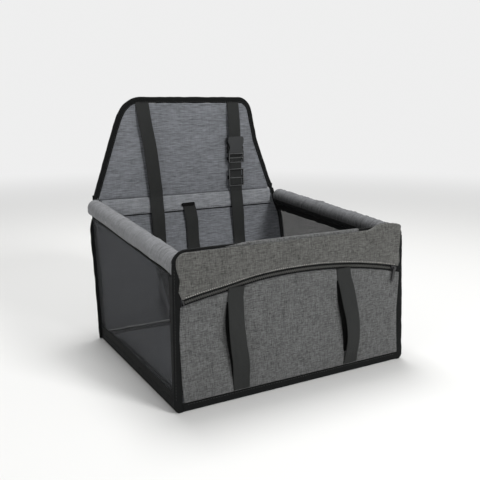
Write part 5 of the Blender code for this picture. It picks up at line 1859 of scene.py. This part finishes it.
@dataclass
class SideWall:
    """One side: padded rail, piping, see-through net and foot binding."""
    side: Side
    front_height: float
    front_spread: float = 0.178
    back_spread: float = 0.188
    end_rounding: float = 0.007
    gather: float = 0.00050
    slack: float = 0.00045
    back_rise: float = 0.0
    back_inset: float = 0.0
    back_reach: float = 0.0
    piping_radius: float = 0.0015
    piping_drop: float = 0.0004
    net_top_spread: float = 0.1895
    tape_start: float = 193.0
    tape_end: float = 262.0
    tape_hang: Table = ((0.0, 0.0085), (0.5, 0.0075), (1.0, 0.0105))
    net_thickness: float = 0.0008
    net_size: tuple[float, float] = (0.350, 0.190)
    net_hem_clears: tuple[float, float] = (0.0002, 0.0011)
    net_sag: float = 0.0006
    net_limit: float = 0.002
    end_calm: float = 0.004
    end_pinch: float = 0.0012
    end_pinch_reach: float = 0.0030
    crest_turn: float = math.radians(95)
    crest_width: float = 0.7
    pipe_cover: float = 0.0007
    droop: float = 0.0018
    droop_reach: float = 0.020
    tape_lifts: tuple[float, float] = (0.0022, 0.0010)
    tape_insets: tuple[float, float] = (0.004, 0.002)
    tape_width: float = 0.022

    @property
    def ends(self) -> tuple[Array, Array]:
        """Front and back middle points of the rail, its soft back end a little higher.

        Returns:
            The two points.
        """
        radius = PLAN.rail_radius
        slope = (PLAN.rail_back_height - self.front_height) / PLAN.depth
        front_face = FRONT.place(0.0, self.front_height + radius,
                                 -PLAN.outer_cloth - GAP - PLAN.lining_cloth)
        flat = radius - self.end_rounding
        back_face = BACK.place(0.0, PLAN.rail_back_height - flat, GAP)
        sign = self.side.value
        return (np.array((sign * self.front_spread, front_face[1] + GAP + radius * slope,
                          self.front_height)),
                np.array((sign * (self.back_spread - self.back_inset),
                          back_face[1] - flat * slope - 2 * GAP + self.back_reach,
                          PLAN.rail_back_height + self.back_rise)))

    def build(self) -> None:
        """Build the side."""
        self.rail()
        self.hem_tape()
        self.net()
        self.foot()

    def rail(self) -> None:
        """Sleeve round the pipe: a long round with crosswise gathers and a domed back end.

        The radius at each place is the rail's radius plus narrow waves along the rail, which fade
        in and out round it, and slow ones that make it a little uneven.
        """
        front, back = self.ends
        length = self.length
        radius = PLAN.rail_radius
        along_share = np.linspace(0, 1, 300)
        along = along_share * length
        rounding = self.end_rounding - self.back_reach * 0.8
        end = np.clip((along - (length - rounding)) / rounding, 0, 1)
        dome = radius - rounding * (1 - np.sqrt(1 - 0.985 * end**2))
        start = np.clip(1 - along / self.end_pinch_reach, 0, 1)
        dome = dome - self.end_pinch * start**2
        turn = np.linspace(0, 2 * np.pi, 73)
        circle = turn[None, :] * radius
        loop_x = np.cos(turn)[None, :] * radius
        loop_y = np.sin(turn)[None, :] * radius
        seed = 80 + self.side.value
        crest = 0.35 + 0.65 * bell(turn, self.crest_turn, self.crest_width)[None, :]
        gathers = Ripples(self.gather, 0.0042, 0.0090, (1.0, 0.10), 16, seed) \
            .at(along[:, None], loop_x * 2) * crest
        slow = Ripples(self.slack, 0.030, 0.080, (1.0, 1.0), 10, seed + 5) \
            .at(along[:, None], loop_y + loop_x)
        calm = (1 - end)[:, None] * round_edge(along, self.end_calm)[:, None]
        flare = self.flare(along, turn)
        ring = dome[:, None] + (gathers + slow) * calm + flare * calm
        shift = np.stack([self.back_inset * along_share, -self.back_rise * along_share], axis=1)
        toward = shift @ np.stack([np.cos(turn), np.sin(turn)])
        inside = PLAN.pipe_radius**2 - (shift**2).sum(axis=1)[:, None] + toward**2
        ring = np.maximum(ring, toward + np.sqrt(np.maximum(inside, 0)) + self.pipe_cover)
        middle = front + (back - front) * along_share[:, None]
        points = self.around(middle[:, None], ring, turn)
        skin = lay(points, circle, along[:, None])
        caps = [lay(np.stack([points[index], np.broadcast_to(middle[index], points[index].shape)]),
                    circle, np.array([[place], [place]])) for index, place in
                ((0, 0.0), (-1, length))]
        # The right rail's darker copy of the cloth is painted shade.
        finish = RAIL if self.side is Side.LEFT else RAIL_RIGHT_SHADED
        piece = make("rail_sleeve_" + self.side.word, [skin, *caps], finish, crease=60.0)
        if self.back_rise > 0:
            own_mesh(piece)

    @property
    def length(self) -> float:
        """Length of the rail."""
        front, back = self.ends
        return float(np.linalg.norm(back - front))

    @property
    def foot_place(self) -> float:
        """Distance to the right at which the side meets the middle of its foot's tape."""
        return self.side.value * (PLAN.width / 2 + PLAN.seam_proud - PLAN.seam_width / 2)

    @property
    def axes(self) -> tuple[Array, Array, Array]:
        """Directions along the rail, out of the basket and up.

        Returns:
            The three directions.
        """
        front, back = self.ends
        aim = unit(back - front)
        outward = unit(np.cross(aim, (0.0, 0.0, 1.0))) * self.side.value
        return aim, outward, unit(np.cross(outward, aim)) * self.side.value

    def around(self, middle: Array, ring: Array, turn: Array,
               drop: Array | float = 0.0) -> Array:
        """Points round the rail's middle at a radius and a turn, lowered by the drop."""
        _, outward, upward = self.axes
        return (middle + (ring * np.cos(turn))[..., None] * outward
                + (ring * np.sin(turn) - drop)[..., None] * upward)

    def hem_tape(self) -> None:
        """Tape inside the basket that covers the seam of sleeve and net and hangs below it."""
        start, end = self.tape_insets
        along = np.linspace(start, self.length - self.end_rounding - end, 160)[:, None]
        steps = np.linspace(0, 1, 22)[None, :]
        turn = np.radians(self.tape_start + (self.tape_end - self.tape_start)
                          * np.clip(steps / 0.7, 0, 1))
        hang = read_off(self.tape_hang, along / self.length) \
            * np.clip((steps - 0.7) / 0.3, 0, 1)
        wave = Ripples(0.0004, 0.010, 0.035, seed=97).at(along, steps * 0.01)
        middle = self.ends[0] + along[..., None] * self.axes[0]
        outer, inner = (self.around(middle, PLAN.rail_radius + lift + wave * (0.3 + 0.7 * steps),
                                    turn, hang) for lift in self.tape_lifts)
        make("rail_hem_" + self.side.word,
             slab(lay(outer, steps * self.tape_width + 0 * along, along), inner), TAPE)

    def flare(self, along: Array, turn: Array) -> Array:
        """Slight droop of the sleeve's cloth under its front end."""
        low = np.clip(-np.sin(turn), 0, 1)[None, :]
        return self.droop * bell(np.asarray(along)[:, None], 0.0, self.droop_reach) * low

    def seam_line(self, share: Array) -> Array:
        """Middle of the piping under the rail, from front to back.

        Args:
            share: Shares of the way from the front to the back.

        Returns:
            Points, n by 3.
        """
        front, back = self.ends
        back = back - np.array((0.0, self.back_reach, 0.0))
        seam_face = BACK.place(0.0, PLAN.rail_back_height - PLAN.rail_radius
                               - 2 * self.piping_radius, 2 * GAP)[1]
        reach = (seam_face - front[1]) / (back[1] - front[1])
        middle = front + (back - front) * (share * reach)[:, None]
        sideways = self.side.value * self.net_top_spread - middle[:, 0]
        drop = np.sqrt((PLAN.rail_radius + GAP + self.piping_radius)**2 - sideways**2)
        return middle + np.stack([sideways, 0 * drop, -drop], axis=1)

    def net(self) -> None:
        """Piping and the net panel that hangs from it to the foot binding."""
        sign = self.side.value
        line = self.seam_line(np.linspace(0, 1, 60))
        make("rail_piping_" + self.side.word,
             round_bar(line - np.array((0.0, 0.0, self.piping_drop)), self.piping_radius), TAPE)
        low = PLAN.seam_width + GAP
        across = self.foot_place
        front_face = FRONT.place(0.0, low, -PLAN.seam_thickness)[1]
        foot_front = np.array((across, front_face + GAP, low))
        foot_back = np.array((across, BACK.place(0.0, low, GAP)[1] - GAP, low))
        along = np.linspace(0, 1, 80)[None, :, None]
        up = np.linspace(0, 1, 50)[:, None, None]
        top = self.seam_line(along[0, :, 0])[None] - np.array(
            (0.0, 0.0, self.piping_radius + 3 * GAP))
        points = (foot_front * (1 - along) + foot_back * along) * (1 - up) + top * up
        wave = Ripples(0.00045, 0.05, 0.16, seed=90 + sign).at(points[..., 1], points[..., 2])
        calm = np.sin(np.pi * along[..., 0]) * np.sin(np.pi * up[..., 0])
        inward = np.array((-float(sign), 0.0, 0.0))
        sag = np.clip(wave + self.net_sag, 0, self.net_limit) * calm
        points = points + inward * sag[..., None]
        shift = inward * self.net_thickness / 2
        face = lay(points - shift, points[..., 1], points[..., 2])
        piece = make("mesh_panel_" + self.side.word, slab(face, points + shift),
                     NET if self.side is Side.LEFT else NET_FAR)
        min(area_of(points), self.net_size[0] * self.net_size[1])
        for place, strip in (("foot", points[:4]), ("front", points[:, :4])):
            self.net_hem(place, strip)

    def net_hem(self, place: str, strip: Array) -> None:
        """Narrow tape that edges the net on its outer side.

        Args:
            place: The edge's word in the piece's name.
            strip: The net's points along that edge.
        """
        outward = np.array((float(self.side.value), 0.0, 0.0))
        rear, face = (strip + outward * (self.net_thickness / 2 + clear)
                      for clear in self.net_hem_clears)
        make("net_hem_" + place + "_" + self.side.word,
             slab(lay(face, strip[..., 2], strip[..., 1]), rear), TAPE)

    def foot(self) -> None:
        """Binding along the side's foot."""
        reach = PLAN.depth / 2 - GAP
        along = np.linspace(-reach + PLAN.seam_thickness, reach, 90)
        centre = np.stack([self.foot_place + 0 * along, along,
                           PLAN.seam_width / 2 + 0 * along], axis=1)
        foot_tape(self.side.word, centre, along, PLAN.seam_width / 2, (0.0, 0.0, 1.0),
                  (1.0, 0.0, 0.0), 96)


@dataclass
class RailWrap:
    """Front cloth stretched back over the right rail's end, with a slanted cut edge.

    Its front edge follows the front panel's raised top. Behind that it tightens onto the rail,
    and its cut edge reaches further back inside the basket than outside.
    """
    lift: float = 0.0010
    inner_turn: float = 170.0
    outer_turn: float = -6.0
    start_depth: float = 0.0004
    thickness: float = 0.0010
    grip_end: float = 0.0035
    edge_bead: float = 0.0004
    edge_round: float = 0.0015
    lip: Table = ((0.122, 0.2146), (0.131, 0.2158), (0.138, 0.2188), (0.146, 0.2206),
                  (0.160, 0.2209), (0.173, 0.2200), (0.182, 0.2184), (0.1872, 0.2160),
                  (0.1888, 0.2120), (0.1892, 0.2040), (0.1892, 0.1960))
    reach: Table = ((-6.0, 0.0020), (40.0, 0.0030), (70.0, 0.0055), (100.0, 0.0120),
                    (120.0, 0.0200), (160.0, 0.0280), (170.0, 0.0290))

    def build(self, rail: SideWall) -> None:
        """Build the wrap from the front panel's edge to its cut edge on the rail.

        Args:
            rail: The side whose rail it covers.
        """
        front = rail.ends[0]
        aim = rail.axes[0]
        lip = smooth_route([(across, up, 0.0) for across, up in self.lip], 70)
        start = FRONT.place(lip[:, 0], lip[:, 1], -self.start_depth)
        turn = np.linspace(self.inner_turn, self.outer_turn, 70)
        reach = read_off(self.reach, turn)
        turn = np.radians(turn)
        before = (front - start) @ aim
        share = ease(np.linspace(0, 1, 30))[:, None]
        along = -before + (before + reach) * share
        grip = step_up(along, -before * 0.9, self.grip_end)[..., None]
        wave = Ripples(0.00030, 0.006, 0.018, seed=141).at(turn * PLAN.rail_radius, along)
        layers = []
        for depth in (0.0, self.thickness):
            ring = PLAN.rail_radius + self.lift - depth \
                + wave + self.edge_bead * round_edge(reach - along, self.edge_round)
            held = rail.around(front + along[..., None] * aim, ring, turn)
            inner = np.stack([np.cos(turn), 0 * turn, np.sin(turn)], axis=1) * depth
            loose = start - inner + (along + before)[..., None] * aim
            layers.append(loose * (1 - grip) + held * grip)
        make("rail_wrap", slab(lay(layers[0], turn * PLAN.rail_radius + 0 * along, along),
                               layers[1]), HEATHER)


@dataclass
class Flap:
    """Headrest flap: padded face, back cloth and the binding round its edge."""
    foot: float = 0.1775
    top: float = 0.1180
    radius: float = 0.0230
    seam_width: float = 0.0080
    face_thickness: float = 0.0020
    board_thickness: float = 0.0015
    back_thickness: float = 0.0010
    top_extra: float = 0.0014
    seam_inset: float = 0.0014
    bead: float = 0.0009
    bead_place: float = 0.0018
    bead_width: float = 0.0010
    fullness: float = 0.0012
    foot_roll: float = 0.0050
    edge_round: float = 0.0030
    calm_margin: float = 0.020
    calm_foot: float = 0.004
    stitch_inset: float = 0.0022
    left_shift: Table = ((0.0, 0.0), (0.122, 0.0), (0.140, 0.0010), (0.150, 0.0034),
                         (0.158, 0.0072), (0.1635, 0.0100), (0.1668, 0.0125))
    right_shift: Table = ((0.0, -0.0060), (0.094, -0.0060), (0.113, -0.0025), (0.132, 0.0),
                          (0.1415, 0.0022), (0.155, 0.0038), (0.1668, 0.0036))

    @property
    def outline(self) -> RoundedTop:
        """Even outline inside the binding, before its two sides are shifted."""
        return RoundedTop(self.foot, self.top, FLAP.rise, self.radius)

    def shaped(self, across: Array, up: Array) -> Array:
        """Distances across after the cut's uneven sides have moved them.

        Each side's shift depends on the height, and falls off inward as the fourth power of the
        share of the half width, so that only the flap's margin moves.
        """
        share = np.clip(np.abs(across) / self.outline.half_width(up), 0, 1)**4
        return across + share * np.where(across < 0, read_off(self.left_shift, up),
                                         read_off(self.right_shift, up))

    def build(self) -> None:
        """Build the flap."""
        self.face()
        self.back()
        self.binding()

    def grid(self, start: float, rows: int, columns: int) -> tuple[Array, Array, Array]:
        """Places across and up the flap and the distance to its nearest edge.

        Args:
            start: Height of the first row.
            rows: Number of rows.
            columns: Number of columns.

        Returns:
            Distances across, up and to the nearest edge, each rows by columns.
        """
        share = ease(np.linspace(0, 1, columns))[None, :]
        high = FLAP.rise - self.seam_inset
        up = start + (high - start) * (1 - (1 - np.linspace(0, 1, rows)[:, None])**1.6)
        half = self.outline.half_width(up) - self.seam_inset
        across = (2 * share - 1) * half
        distance = np.minimum(half - np.abs(across), high - up)
        return self.shaped(across, up), up + 0 * across, distance

    def face(self) -> None:
        """Padded face: full near its binding, with slow waves and a rolled lower edge."""
        across, up, distance = self.grid(0.0006, 120, 150)
        waves = Ripples(0.00030, 0.035, 0.110, (0.8, 1.0), seed=101).at(across, up)
        fine = Ripples(0.00010, 0.010, 0.022, (0.35, 1.0), 14, 102).at(across, up)
        rolled = round_edge(up, self.foot_roll)
        bead = self.bead * bell(distance, self.bead_place, self.bead_width)
        calm = round_edge(distance, self.calm_margin)
        out = -self.bead + bead + self.fullness * round_edge(distance, self.edge_round) * rolled \
            + (waves + fine) * calm * rolled * (up > self.calm_foot)
        out = np.minimum(out, self.fullness)
        piece = make("flap_face", FLAP.cloth(across, up, out, -self.face_thickness), SLATE,
                     Body.FLAP)

    def back(self) -> None:
        """Plain cloth on the flap's rear."""
        across, up, _ = self.grid(0.003, 80, 90)
        face = -self.face_thickness - self.board_thickness - 3 * GAP
        waves = Ripples(0.25, 0.04, 0.12, seed=111).at(across, up)
        rear = face - self.back_thickness * np.clip(0.75 + waves, 0.5, 1.0)
        make("flap_back", FLAP.cloth(across, up, face, rear), SLATE, Body.FLAP)

    def binding(self) -> None:
        """Tape round the flap, folded over all its layers, with its stitches."""
        points, normals = self.outline.edge(0.003, 60, 30, 70)
        points = np.stack([self.shaped(points[:, 0], points[:, 1]), points[:, 1]], axis=1)
        slope = unit(np.gradient(points, axis=0))
        normals = np.stack([-slope[:, 1], slope[:, 0]], axis=1)
        points = points - normals * self.seam_inset
        width = self.seam_width + self.seam_inset \
            + self.top_extra * np.clip(normals[:, 1], 0, 1)**2
        total = self.face_thickness + self.board_thickness + self.back_thickness + 4 * GAP
        make("flap_binding", bound_edge(FLAP, points, normals, width, total,
                                        GAP, 9), TAPE, Body.FLAP)
        middle = points + normals * self.stitch_inset
        sew("flap_stitches", FLAP.place(middle[:, 0], middle[:, 1], PLAN.stitch_face), FLAP.out,
            Body.FLAP)


@dataclass(frozen=True)
class Rim:
    """Light grey rectangle on the front of a fitting, with one bar across it: painted highlights
    of its edges.
    """
    name: str
    body: Body
    foot: float
    length: float
    width: float
    face: float
    bar: float


@dataclass
class HeadrestStrap:
    """Headrest strap: both legs on the flap, the folds, and the loop inside the basket."""
    left_top: float = -0.0880
    left_middle: float = -0.0790
    buckle_mouth: float = 0.0715
    socket_length: float = 0.0310
    socket_corner: float = 0.0030
    socket_slot: float = 0.0060
    plug_shoulder: float = 0.0050
    top_depth: float = 0.0008
    straight_foot: float = 0.150
    twist_foot: float = 0.105
    wall_depth: float = 0.0010
    bend_radius: float = 0.045
    loop_forward: float = 0.006
    loop_steps: int = 52
    fold_bend: float = 0.0095
    fold_lap: float = 0.0008
    rim_inset: float = 0.0007
    rim_cord: tuple[float, float] = (0.0007, 0.0006)

    def build(self) -> None:
        """Build the strap's pieces."""
        self.on_flap()
        self.folds()
        self.rims()
        self.loop()

    def piece(self, name: str, route: Array) -> bpy.types.Object:
        """One flat length of webbing along a route given on the flap."""
        return webbing(name, FLAP.place(*route.T), FLAP.across, Body.FLAP)

    def on_flap(self) -> None:
        """Left leg, right leg and the short strap above the buckle."""
        middle = PLAN.strap_middle
        half = PLAN.webbing_thickness / 2
        top = FLAP.rise - GAP
        foot = PLAN.fold_reach - self.fold_lap
        right = PLAN.right_strap_place
        left = smooth_route([(self.left_top, top, self.top_depth + half),
                             (self.left_top * 0.8 + self.left_middle * 0.2, top * 0.85,
                              middle * 0.7),
                             (self.left_middle, top * 0.55, middle),
                             (PLAN.left_strap_foot, foot, middle)], 70)
        self.piece("headrest_strap_left", left)
        end = self.buckle_mouth - self.plug_shoulder - GAP
        leg = smooth_route([(right, foot, middle), (right, (foot + end) / 2, middle),
                            (right, end, middle)], 30)
        self.piece("headrest_strap_right", leg)
        socket_end = self.buckle_mouth + self.socket_length
        last = socket_end - self.socket_slot + 2 * GAP
        short = smooth_route([(right, top, self.top_depth + half),
                              (right, (top + socket_end) / 2, middle * 0.8),
                              (right, socket_end + self.socket_corner, middle),
                              (right, last, middle)], 40)
        piece = self.piece("buckle_short_strap", short)
        tuple(FLAP.up)
        tuple(FLAP.place(right, top, middle))
        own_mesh(piece)

    def folds(self) -> None:
        """Short bits of the strap round the fold, from the back wall up to the flap."""
        middle = PLAN.strap_middle
        reach = PLAN.fold_reach - GAP
        for side, place in zip(Side, (PLAN.left_strap_foot, PLAN.right_strap_place)):
            bend = (FLAP.place(place, 0.0, middle)
                    + BACK.place(place, BACK.rise, middle)) / 2
            route = [FLAP.place(place, reach, middle),
                     FLAP.place(place, reach / 2, middle), bend,
                     BACK.place(place, BACK.rise - reach / 2, middle),
                     BACK.place(place, BACK.rise - reach, middle)]
            piece = webbing("headrest_strap_fold_" + side.word, smooth_route(route, 30),
                            FLAP.across, None)
            bend_with_flap(piece, self.fold_bend, place)

    def rims(self) -> None:
        """Light grey cords on the strap slider and on the plug's ladder: painted highlights of
        their edges.

        Each is a thin cord round a rectangle on the fitting's front face, or along one of its
        bars.
        """
        front = PLAN.strap_middle + PLAN.webbing_thickness / 2 + GAP
        plug_length = 0.0175
        for rim in (Rim("tri_glide_highlight", Body.GLIDE, 0.0095, 0.0325, 0.0315, 0.0018, 0.0155),
                    Rim("buckle_plug_highlight", Body.FLAP, self.buckle_mouth - GAP - plug_length,
                        plug_length, 0.0310, 0.0024, 0.0088)):
            half, low = rim.width / 2 - self.rim_inset, rim.foot + self.rim_inset
            high, bar = rim.foot + rim.length - self.rim_inset, rim.foot + rim.bar
            corners = [(-half, low), (half, low), (half, high), (-half, high), (-half, low)]
            lines = [*zip(corners[:-1], corners[1:]), ((-half, bar), (half, bar))]
            patches = []
            for first, last in lines:
                share = np.linspace(0, 1, 12)[:, None]
                place = np.array(first) * (1 - share) + np.array(last) * share
                centre = FLAP.place(PLAN.right_strap_place + place[:, 0], place[:, 1],
                                    front + rim.face)
                patches += strap(centre, FLAP.out, *self.rim_cord)
            make(rim.name, patches, PAINTED_HIGHLIGHT, rim.body)

    def loop(self) -> None:
        """One strap from leg to leg: down the wall, turned on edge and across the floor.

        Each leg runs down the wall, then its side direction turns through a right angle, so that
        the strap stands on its edge where it crosses the floor.
        """
        middle = PLAN.strap_middle
        half = PLAN.webbing_thickness / 2
        start = BACK.rise - PLAN.fold_reach + self.fold_lap
        wall = self.wall_depth + half
        out_up = BACK.out[2]
        depth = wall + PLAN.webbing_width / 2 + self.loop_forward
        height = PLAN.pad_top + GAP + half + PLAN.webbing_width / 2 * out_up
        floor = (height - depth * out_up) / BACK.up[2]
        route, turned = [], []
        for side, place in ((-1, PLAN.left_strap_foot), (1, PLAN.right_strap_place)):
            centre = (place - side * self.bend_radius, floor + self.bend_radius)
            points = [(place, start, middle), (place, PLAN.band_low - 2 * PLAN.seam_proud, middle),
                      (place, self.straight_foot, wall), (place, self.twist_foot, wall)]
            points += [(centre[0] + side * self.bend_radius * math.cos(turn),
                        centre[1] - self.bend_radius * math.sin(turn), wall)
                       for turn in np.linspace(0, math.pi / 2, 4)]
            points.append((centre[0] - side * self.bend_radius / 3, floor, wall))
            shares = [0, 0, 0, 0.5, 1, 1, 1, 1, 1]
            route.extend(points[::-side] if side > 0 else points)
            turned.extend(shares[::-side] if side > 0 else shares)
        route = np.array([BACK.place(*point) for point in route])
        knots = run_length(route)
        steps = 4 * self.loop_steps
        centre = smooth_route(route, steps)
        share = np.interp(np.linspace(0, knots[-1], steps), knots, turned)
        angle = ease(share)[:, None] * math.pi / 2
        tangent = np.gradient(centre, axis=0)
        across = unit(np.cross(BACK.out, tangent))
        side = unit(np.cos(angle) * across + np.sin(angle) * BACK.out)
        reach = np.abs(side @ BACK.out) * PLAN.webbing_width / 2 + self.loop_forward * share
        centre = centre + reach[:, None] * BACK.out
        webbing("headrest_strap_loop", centre, side)


@dataclass
class Tether:
    """Safety tether: its strap; the eye, hook and gate are the model's own."""
    place: float = -0.0045
    top_place: float = -0.0085
    top: float = 0.2215
    foot: float = 0.0950
    axis_depth: float = 0.0150
    tail: float = 0.0150
    straight_foot: float = 0.150
    wall_depth: float = 0.0010
    eye_bar: float = 0.0028

    def build(self) -> None:
        """Build the strap out of its slot, down the wall and round the eye's bar."""
        half = PLAN.webbing_thickness / 2
        rim = PLAN.band_thickness + 2 * GAP + half
        wall = self.wall_depth + half
        wrap = math.hypot(self.eye_bar, self.eye_bar) / 2 + GAP + half
        drift = (self.top_place + self.place) / 2
        route = [(self.top_place, self.top, rim), (drift, PLAN.band_low + PLAN.seam_proud, rim),
                 (self.place, PLAN.band_low - PLAN.seam_width, rim),
                 (self.place, self.straight_foot, wall),
                 (self.place, self.foot + 2 * self.tail, wall + wrap),
                 (self.place, self.foot + self.tail / 2, self.axis_depth - wrap)]
        upper = smooth_route([BACK.place(*point) for point in route], 60)
        turns = np.linspace(0, math.pi, 14)
        curl = BACK.place(self.place, self.foot - wrap * np.sin(turns),
                          self.axis_depth - wrap * np.cos(turns))
        tail = BACK.place(np.array([self.place]), self.foot + self.tail * np.ones(1),
                          self.axis_depth + wrap)
        centre = np.concatenate([upper, curl, tail])
        webbing("tether_strap", centre, FRONT.across)


@dataclass
class Floor:
    """Base: cover, cushioned pad made by cloth simulation, and the bindings of both ends."""
    cover_half: tuple[float, float] = (0.1912, 0.1585)
    cover_heights: tuple[float, float] = (0.0002, 0.0019)
    pad_half: tuple[float, float] = (0.1826, 0.1485)
    pad_foot: float = 0.0056
    pad_thickness: float = 0.0090
    pad_clear: float = 0.0012
    pad_crown: float = 0.0014
    pad_lift: tuple[float, float] = (0.0004, 0.0006)
    draw_in: float = 0.004
    pressure: float = 4.0
    voxel: float = 0.0045
    cap: float = 0.0035
    steps: int = 20
    tape_clears: tuple[float, float] = (0.0004, 0.0006)

    def build(self) -> None:
        """Build the floor."""
        self.cover()
        self.pad()
        for name, panel in (("front", FRONT), ("back", BACK)):
            self.binding(name, panel)

    def cover(self) -> None:
        """Cloth under the board, a little uneven inside its thickness."""
        half, (low, high) = self.cover_half, self.cover_heights
        across = np.linspace(-half[0], half[0], 60)[None, :]
        along = np.linspace(-half[1], half[1], 50)[:, None]
        wave = np.clip(Ripples(0.00012, 0.05, 0.15, seed=121).at(across, along), -0.0002, 0.0002)
        under = np.stack(np.broadcast_arrays(across, along, low + np.abs(wave)), axis=-1)
        above = np.stack(np.broadcast_arrays(across, along, high + 0 * wave), axis=-1)
        piece = make("base_cover", slab(lay(above, across, along), under), SLATE)

    def pad(self) -> None:
        """Thin floor cushion: drawn in between its corners, then swollen as cloth.

        The first form is a flat pillow whose sides pull in by a square law. It is remeshed, blown
        up a little by the cloth solver, held within a cap of its first form and above the board.
        """
        share = ease(np.linspace(0, 1, 70))
        across, along = np.meshgrid(2 * share - 1, 2 * share - 1)
        half_x = self.pad_half[0] - self.pad_clear - self.draw_in * (1 - along**2)
        half_y = self.pad_half[1] - self.pad_clear - self.draw_in * (1 - across**2)
        fullness = (1 - across**6) * (1 - along**6)
        height = (self.pad_thickness - self.pad_crown) * (0.55 + 0.45 * fullness)
        x, y = across * half_x, along * half_y
        top = np.stack([x, y, self.pad_foot + self.pad_lift[1] + height], axis=-1)
        foot = np.stack([x, y, self.pad_foot + self.pad_lift[0] + 0 * height], axis=-1)
        piece = mesh_piece("floor_pad", *joined(slab(lay(top, x, y), foot)))
        self.swell(piece)
        self.spread_map(piece)
        dress(piece, SLATE)

    def swell(self, piece: bpy.types.Object) -> None:
        """Blow the pad up with the cloth solver and keep it inside its cap.

        Args:
            piece: The flat pillow, whose mesh is changed.
        """
        bpy.context.view_layer.objects.active = piece
        remesh = piece.modifiers.new("even_faces", "REMESH")
        remesh.mode = "VOXEL"
        remesh.voxel_size = self.voxel
        bpy.ops.object.modifier_apply(modifier=remesh.name)
        first = points_of(piece.data)
        solver = piece.modifiers.new("cloth", "CLOTH")
        solver.settings.use_pressure = True
        solver.settings.uniform_pressure_force = self.pressure
        solver.settings.quality = 5
        solver.settings.tension_stiffness = 12
        solver.settings.bending_stiffness = 0.6
        solver.settings.effector_weights.gravity = 0.0
        solver.point_cache.frame_start = 1
        solver.point_cache.frame_end = self.steps
        scene = bpy.context.scene
        for step in range(1, self.steps + 1):
            scene.frame_set(step)
        bpy.ops.object.modifier_apply(modifier=solver.name)
        scene.frame_set(1)
        shift = points_of(piece.data) - first
        far = np.linalg.norm(shift, axis=1, keepdims=True)
        shift *= np.minimum(1, self.cap / np.maximum(far, 1e-9))
        place = first + shift
        for axis, half in enumerate(self.pad_half):
            place[:, axis] = np.clip(place[:, axis], -half, half)
        top = self.pad_foot + self.pad_thickness
        place[:, 2] = np.clip(place[:, 2], self.pad_foot, top)
        piece.data.vertices.foreach_set("co", place.reshape(-1).astype(np.float32))
        smooth = piece.modifiers.new("smooth", "SUBSURF")
        smooth.levels = smooth.render_levels = 1
        bpy.ops.object.modifier_apply(modifier=smooth.name)
        piece.data.shade_smooth()

    def spread_map(self, piece: bpy.types.Object) -> None:
        """Lay the cloth's map over the pad from above: across is X and up is Y.

        Args:
            piece: The pad.
        """
        mesh = piece.data
        corner = np.empty(len(mesh.loops), np.int32)
        mesh.loops.foreach_get("vertex_index", corner)
        layer = mesh.uv_layers.get("cloth") or mesh.uv_layers.new(name="cloth")
        layer.data.foreach_set("uv", points_of(mesh)[corner][:, :2].reshape(-1))

    def binding(self, name: str, panel: Panel) -> None:
        """Binding along the foot of the front or back.

        Args:
            name: The wall's word in the piece's name.
            panel: The wall's panel.
        """
        half = PLAN.panel_foot - GAP
        across = np.linspace(-half, half, 120)
        low, high = self.tape_clears[0], PLAN.seam_width - self.tape_clears[1]
        centre = panel.place(across, (low + high) / 2 + 0 * across,
                             GAP - PLAN.seam_thickness / 2)
        foot_tape(name, centre, across, (high - low) / 2, panel.up, panel.out, 131)


@dataclass
class Fittings:
    """The model's own hard pieces, which keep their shape and get their finish here."""
    finishes: dict = field(default_factory=lambda: {
        "base_board": BOARD, "flap_board": BOARD, "rail_tube_left": PIPE,
        "rail_tube_right": PIPE, "buckle_plug": PLASTIC, "buckle_arm_left": PLASTIC,
        "buckle_arm_right": PLASTIC, "buckle_socket": SOCKET_PLASTIC, "tri_glide": PLASTIC,
        "tether_eye": METAL, "tether_hook": METAL, "tether_gate": METAL, "zip_slider": ZIP_METAL,
        "zip_puller": ZIP_METAL, "zip_stop_left": ZIP_METAL, "zip_stop_right": ZIP_METAL})

    def build(self) -> None:
        """Assign the finishes."""
        for node, finish in self.finishes.items():
            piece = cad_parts[node]
            material = finish.material()
            for slot in piece.material_slots:
                slot.material = material
            if not piece.material_slots:
                piece.data.materials.append(material)
            LOG.info("%s: kept, %s", node, finish.name)


def main() -> None:
    """Build the scene: view and light first, then each sub-assembly."""
    logging.basicConfig(level=logging.INFO, format="%(name)s %(message)s")
    Studio().build()
    right = SideWall(Side.RIGHT, 0.2032, gather=0.00075, slack=0.00025)
    left = SideWall(Side.LEFT, 0.1945, back_rise=0.0050, back_inset=0.0040, back_reach=0.0030)
    parts = (Floor(), FrontWall(), PocketLoops(), BackWall(), left, right, Flap(),
             HeadrestStrap(), Tether(), Fittings())
    for part in parts:
        part.build()
    RailWrap().build(right)


if __name__ == "__main__":
    main()
